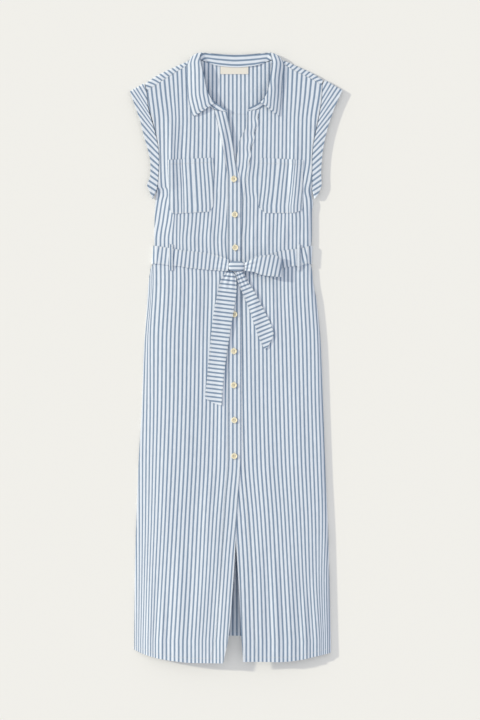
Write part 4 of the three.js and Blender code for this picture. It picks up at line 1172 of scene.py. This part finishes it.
TAILS = {
    "belt_tail_long": Table("x0 y0 x1 y1 lift", (
        (-22, 182, -5, 181, 5), (-32.5, 166, 0, 166, 4.3), (-39.5, 140, 0.5, 142, 3.9), (-46, 106, -4, 108, 4.3),
        (-51, 70, -9.5, 74, 3.2), (-57, 15, -15.5, 37, 2.6), (-61.5, -35, -24, -20, ON_CLOTH),
        (-66.5, -86, -29, -70, ON_CLOTH), (-50, -99, -31.5, -105, ON_CLOTH))),
    "belt_tail_short": Table("x0 y0 x1 y1 lift", (
        (-2.6, 181, 14, 183, 5.4), (3.6, 160, 25, 163, 3.8), (11.5, 140, 37, 143, 2.4), (25, 108, 57, 105, ON_CLOTH),
        (39, 69, 77, 63, ON_CLOTH), (49, 39, 80, 47, ON_CLOTH), (60.5, 16, 67, 20, ON_CLOTH))),
}
BOW_LOOP = Table("x0 y0 x1 y1 lift", (
    (17.5, 186, 17.5, 198, 5.4), (32, 183, 30, 206, 4.4), (56, 178, 52, 214, 3.9), (84, 174, 82, 214, 4.2),
    (93, 172, 92.5, 211.5, 6), (96.5, 171, 96, 208, 8.4), (93, 170.5, 92.5, 212, 10.8), (82, 171, 80, 217.5, 12.4),
    (56, 174.5, 54, 216.5, 13), (34, 181.5, 32, 209, 12), (17.5, 184.5, 17.5, 200, 8.4)))
BELT_LOOPS = {
    Side.RIGHT: Table("x0 y0 x1 y1 lift", (
        (-144, 241, -136, 241, 1.6), (-144, 236, -136, 236, 2.2), (-144, 232.5, -136, 232.5, 3.6),
        (-144, 213, -136, 213, 3.7), (-144, 196, -136, 196, 3.6), (-144, 191, -136, 191, 2.2),
        (-144, 185, -136, 185, 1.6))),
    Side.LEFT: Table("x0 y0 x1 y1 lift", (
        (129.5, 241, 137.5, 241, 1.6), (129.5, 237, 137.5, 237, 2.2), (129.5, 233.5, 137.5, 233.5, 3.6),
        (129.5, 213, 137.5, 213, 3.7), (129.5, 195, 137.5, 195, 3.6), (129.5, 190, 137.5, 190, 2.2),
        (129.5, 184.5, 137.5, 184.5, 1.6))),
}


@dataclass
class Belt:
    """The tie belt: round the back, through its loops to the knot, one bow loop and two tails."""

    finer: int = 8
    columns: int = 24

    def strip_on_front(self, table: Table) -> Array:
        """A strip on the fronts, from sections with both edges and a lift, in small pleats near the knot."""
        at = np.linspace(0, len(table.rows) - 1, (len(table.rows) - 1) * self.finer + 1)[:, None]
        s = np.linspace(0, 1, self.columns)[None, :]
        read = {name: table.by_index(name, at) for name in table.names.split()}
        x, y = mix(read["x0"], read["x1"], s), mix(read["y0"], read["y1"], s)
        gathered = ease((62 - np.hypot(x, y - 193)) / 34)
        return on_front(x, y, read["lift"] + gathered * np.sin((5.6 * s + 0.3) * np.pi))

    def grain(self, points: Array) -> Array:
        """Stripes across the belt, about square to its middle line."""
        centre = points.mean(1)
        step = np.diff(centre, axis=0)
        length = np.concatenate([[0], np.cumsum(np.linalg.norm(step, axis=-1))])[:, None]
        ahead = np.gradient(centre, axis=0)[:, None] * (1, 0.75, 0)
        ahead /= np.maximum(np.linalg.norm(ahead, axis=-1, keepdims=True), 0.3)
        aside = np.stack([-ahead[..., 1], ahead[..., 0], 0 * ahead[..., 0]], -1)
        off = points - centre[:, None]
        return np.stack([length + (off * ahead).sum(-1), (off * aside).sum(-1)], axis=-1)

    def tilted(self, points: Array, tilt: float) -> Array:
        """Straight stripes seen from above, which fall to the viewer's right by an angle in degrees."""
        slant = math.radians(tilt)
        x, y = points[..., 0], points[..., 1]
        return np.stack([y * math.cos(slant) + x * math.sin(slant), x * math.cos(slant) - y * math.sin(slant)], -1)

    def side_grid(self, side: Side) -> Array:
        """One side of the belt: up from beneath the back, round the dress's edge and along the front."""
        at = np.linspace(0, len(BELT_TURN.rows) - 1, 20)[:, None]
        s = np.linspace(0, 1, self.columns)[None, :]
        y = mix(238.0, 199.5, s) + 0 * at
        x = EDGE[side].read("y", "x", y) + side.value * BELT_TURN.by_index("out", at)
        turn = np.stack([x, y, BELT_TURN.by_index("z", at) + 0 * y], -1)
        stretch = self.strip_on_front(BELT_STRETCH[side])
        return np.concatenate([turn, stretch] if side is Side.RIGHT else [stretch, turn[::-1]])

    def back_grid(self) -> Array:
        """The belt's back, flat on the surface beneath the dress."""
        t = np.linspace(0, 1, 60)[:, None]
        y = mix(238.0, 199.5, np.linspace(0, 1, self.columns)[None, :])
        inset = -14 - SEAM_GAP
        x = mix(EDGE[Side.RIGHT].read("y", "x", y) - inset, EDGE[Side.LEFT].read("y", "x", y) + inset, t)
        return np.stack([x, y + 0 * x, np.full_like(x, BELT_CLOTH / 2)], -1)

    def build(self, shop: Workshop) -> None:
        """Builds all pieces of the belt and its loops."""
        for side, length, stripe in ((Side.RIGHT, 0.19, -140.6), (Side.LEFT, 0.17, 128.4)):
            points = self.side_grid(side)
            self.piece(shop, f"belt_side_{side.word}", points, length, (f"front_{side.word}",))
            points = self.strip_on_front(BELT_LOOPS[side])
            grain = np.stack([points[..., 0] - stripe + PITCH / 2, points[..., 1]], -1)
            Cloth(f"belt_loop_{side.word}", points, grain, flat=(0.0101, 0.062), area=0.0005,
                  rests_on=(f"belt_side_{side.word}",), thickness=STRIP_CLOTH, face=-1,
                  seams=(((0.02, 0.2), (0.98, 0.2)), ((0.02, 0.8), (0.98, 0.8)))).build(shop)
        self.piece(shop, "belt_back", self.back_grid(), 0.32, ())
        self.piece(shop, "belt_tail_long", self.strip_on_front(TAILS["belt_tail_long"]), 0.29, ("front_right",),
                   tilt=6.5, face=-1)
        self.piece(shop, "belt_tail_short", self.strip_on_front(TAILS["belt_tail_short"]), 0.165, ("front_left",),
                   cut=0.8, tilt=-22.0, face=-1)
        self.piece(shop, "belt_bow_loop", self.strip_on_front(BOW_LOOP), 0.165, ("belt_side_left",), "folded",
                   tilt=101.0)
        self.knot(shop)

    def piece(self, shop: Workshop, name: str, points: Array, length: float, rests_on: tuple[str, ...],
              held: str = "laid", cut: float = 1.0, tilt: float | None = None, face: int = 1) -> None:
        """Makes one piece of the belt.

        Args:
            shop: the finishes and the shift.
            name: its node.
            points: its grid.
            length: its flat length in metres.
            rests_on: what it lies on.
            held: how it is held.
            cut: its flat area as a share of its width times its length.
            tilt: how far its stripes fall to the right as seen from above, or None for square ones.
            face: which side of its grid shows, 1 along the normal and -1 against it.
        """
        grain = self.grain(points) if tilt is None else self.tilted(points, tilt)
        seams = (((0.01, 0.06), (0.99, 0.06)), ((0.01, 0.94), (0.99, 0.94)))
        Cloth(name, points, grain, flat=(0.043, length), area=0.043 * length * cut, held=held,
              rests_on=rests_on, thickness=BELT_CLOTH, seams=seams, face=face).build(shop)

    def knot(self, shop: Workshop) -> None:
        """The knot: a ball whose X, Y and Z are drawn out to powers of 0.6, so that it is soft and square.

        Args:
            shop: the finishes and the shift.
        """
        rows, columns = 40, 72
        down = np.linspace(0, np.pi, rows)[:, None]
        around = np.linspace(0, 2 * np.pi, columns + 1)[None, :]
        unit = np.stack(np.broadcast_arrays(np.sin(down) * np.cos(around), np.sin(down) * np.sin(around),
                                            np.cos(down)), -1)
        soft = np.sign(unit) * np.abs(unit) ** 0.6
        middle, half = np.array([0.5, 193.5, 15.5]), np.array([16.6, 10.8, 4.5])
        points = middle + soft * half
        ids = np.arange(rows * columns).reshape(rows, columns)
        ids = np.concatenate([ids, ids[:, :1]], axis=1)
        faces = corners(ids)
        body = points[:, :-1].reshape(-1, 3)
        made = shop.mesh("belt_knot_cloth", body, faces[:, ::-1], shop.cotton)
        layer = made.data.uv_layers.new(name="grain")
        grain = np.stack([body[:, 1] + PITCH * 0.2, body[:, 0]], -1) / 1000
        layer.data.foreach_set("uv", grain[faces[:, ::-1]].ravel())
        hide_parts("belt_knot")


@dataclass
class Buttons:
    """Nine cream buttons, each sewn on with thread, with painted shade in its four holes."""

    places: Table = Table("x y", ((-5, 381), (-3, 305), (-2, 234), (-6, 162), (-4, 91), (-5, 12), (-5, -61),
                                  (-4, -136), (-4, -213)))
    around: int = 48
    holes: tuple[tuple[float, float], ...] = ((-1.45, -1.45), (1.45, -1.45), (-1.45, 1.45), (1.45, 1.45))
    profile: Table = Table("r z", ((0, 0), (5.0, 0), (6.0, 0.35), (6.4, 0.9), (6.35, 1.5), (5.9, 2.2),
                                   (5.3, 2.4), (4.7, 2.2), (4.2, 1.75), (3.0, 1.6), (1.5, 1.55), (0, 1.55)))

    def hole_shade_discs(self, floor: Array, angle: Array) -> tuple[Array, Array]:
        """Dark discs of painted shade for the four holes, which the button's face doesn't cut: each a flat ring that
        closes to its middle.
        """
        ring = np.stack([np.cos(angle), np.sin(angle), 0 * angle], -1)
        points = (floor[:, None, None] + ring * np.array([0.85, 0.01])[:, None, None]).reshape(-1, 3)
        rims = np.arange(len(points)).reshape(4, 2, -1)
        closed = np.concatenate([rims, rims[..., :1]], axis=-1)
        return points, np.concatenate([strip(near, far) for near, far in closed])

    def sewing(self, floor: Array) -> tuple[Array, Array]:
        """Two bows of thread over each pair of holes, and the buttonhole's two long and two short bars."""
        apart = np.array([-0.2, -0.2, 0.25, 0.25])[:, None, None] * (0, 1, 0)
        bows = floor[np.array([(0, 1), (2, 3), (0, 1), (2, 3)])] + apart
        up = np.tile((0.0, 0.0, 1.0), (4, 1))
        thread, thread_faces = threads(bows, up, 0.45, 0.5)
        half = 8.2
        bars = np.array([[(-0.8, -half, 0), (-0.8, half, 0)], [(0.8, -half, 0), (0.8, half, 0)],
                         [(-1.1, half, 0), (1.1, half, 0)], [(-1.1, -half, 0), (1.1, -half, 0)]])
        bar, bar_faces = threads(bars, up, 0.9, 0.05)
        return np.concatenate([thread, bar]), np.concatenate([thread_faces, bar_faces + len(thread)])

    def build(self, shop: Workshop) -> None:
        """Builds each button: its profile turned about its own axis, on the placket and tilted with it."""
        angle = np.linspace(0, 2 * np.pi, self.around, endpoint=False)[None, :]
        at = np.linspace(0, len(self.profile.rows) - 1, 45)[:, None]
        r, z = self.profile.by_index("r", at), self.profile.by_index("z", at)
        disc = np.stack(np.broadcast_arrays(r * np.cos(angle), r * np.sin(angle), z), -1)
        ids = np.arange(disc.shape[0] * disc.shape[1]).reshape(disc.shape[:2])
        faces = corners(np.concatenate([ids, ids[:, :1]], axis=1))
        floor = np.concatenate([self.holes, np.full((4, 1), 1.63)], axis=1)
        hole_shade_discs, hole_shade_faces = self.hole_shade_discs(floor, angle[0])
        thread, thread_faces = self.sewing(floor)
        for k, (x, y) in enumerate(self.places.rows):
            seat = on_front(np.array(float(x)), np.array(float(y)), np.array(SHELL / 2 + 0.15))
            slope = math.atan((front_height(np.array(x), np.array(y + 8.0))
                               - front_height(np.array(x), np.array(y - 8.0))) / 16)
            turn = np.array([[1, 0, 0], [0, math.cos(slope), -math.sin(slope)],
                             [0, math.sin(slope), math.cos(slope)]])
            made = shop.mesh(f"button_{k + 1}_disc", disc.reshape(-1, 3) @ turn.T + seat, faces, shop.cream)
            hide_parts(f"button_{k + 1}")
            # Dark discs on the button's face: painted shade for its four holes.
            made = shop.mesh(f"button_{k + 1}_holes", hole_shade_discs @ turn.T + seat, hole_shade_faces, shop.shade)
            made = shop.mesh(f"button_{k + 1}_thread", thread @ turn.T + seat, thread_faces, shop.thread)


@dataclass
class NeckLabel:
    """A bare woven label inside the back neck."""

    left: float = -34.0
    right: float = 26.0
    top: float = 624.5
    bottom: float = 607.0
    height: float = 3.1

    def build(self, shop: Workshop) -> None:
        """Builds the label as a thin closed slab, level between its ends."""
        x = np.linspace(self.left, self.right, 30)[:, None]
        y = np.linspace(self.top, self.bottom, 10)[None, :]
        z = self.height + 0 * x * y
        top = np.stack([x + 0 * y, y + 0 * x, z + 0.45], -1)
        low = top - (0, 0, 0.9)
        ids = np.arange(300).reshape(30, 10)
        back = ids + 300
        faces = np.concatenate([corners(ids), corners(back)[:, ::-1], strip(ids[:, 0], back[:, 0]),
                                strip(back[:, -1], ids[:, -1]), strip(back[0], ids[0]), strip(ids[-1], back[-1])])
        made = shop.mesh("neck_label_tape", np.concatenate([top.reshape(-1, 3), low.reshape(-1, 3)]),
                         faces[:, ::-1], shop.tape)
        made.data.set_sharp_from_angle(angle=math.radians(50))
        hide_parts("neck_label")


@dataclass
class Studio:
    """A pale floor, soft light from the viewer's left and a camera straight above."""

    across: float = 1.54440
    centre: tuple[float, float] = (0.00804, -0.00697)
    lens: float = 85.0
    film: float = 36.0

    def build(self, shop: Workshop) -> None:
        """Builds the floor, the lights and the camera."""
        floor = bpy.data.meshes.new("floor")
        floor.from_pydata([(-6, -6, 0), (6, -6, 0), (6, 6, 0), (-6, 6, 0)], [], [(0, 1, 2, 3)])
        made = bpy.data.objects.new("floor", floor)
        bpy.context.scene.collection.objects.link(made)
        paper = bpy.data.materials.new("paper")
        paper.use_nodes = True
        shader = paper.node_tree.nodes["Principled BSDF"]
        shader.inputs["Base Color"].default_value = (0.87, 0.86, 0.83, 1)
        shader.inputs["Roughness"].default_value = 0.95
        shader.inputs["Specular IOR Level"].default_value = 0.1
        floor.materials.append(paper)
        world = bpy.data.worlds.new("studio")
        world.use_nodes = True
        world.node_tree.nodes["Background"].inputs[0].default_value = (0.95, 0.965, 1.0, 1)
        world.node_tree.nodes["Background"].inputs[1].default_value = 0.79
        bpy.context.scene.world = world
        bpy.context.scene.view_settings.view_transform = "Standard"
        sun = bpy.data.lights.new("window", "SUN")
        sun.color = (1.0, 0.95, 0.78)
        sun.energy = 2.5
        sun.angle = math.radians(2.5)
        lamp = bpy.data.objects.new("window", sun)
        lamp.rotation_euler = Vector((0.90, -0.29, -0.325)).to_track_quat("-Z", "Y").to_euler()
        bpy.context.scene.collection.objects.link(lamp)
        lens = bpy.data.cameras.new("camera")
        lens.lens = self.lens
        lens.sensor_fit = "VERTICAL"
        lens.sensor_height = self.film
        lens.clip_end = 50
        camera = bpy.data.objects.new("camera", lens)
        shift = shop.shift / 1000
        height = self.across * self.lens / self.film + 0.008
        camera.location = (self.centre[0] + shift[0], self.centre[1] + shift[1], height)
        bpy.context.scene.collection.objects.link(camera)
        bpy.context.scene.camera = camera


def main() -> None:
    logging.basicConfig(level=logging.INFO)
    shop = Workshop()
    LOG.info("shift %s", shop.shift)
    for part in (Studio(), Back(), Yoke(), Fronts(), Sleeves(), Pockets(), Collar(), Belt(), Buttons(),
                 NeckLabel()):
        part.build(shop)


if __name__ == "__main__":
    main()
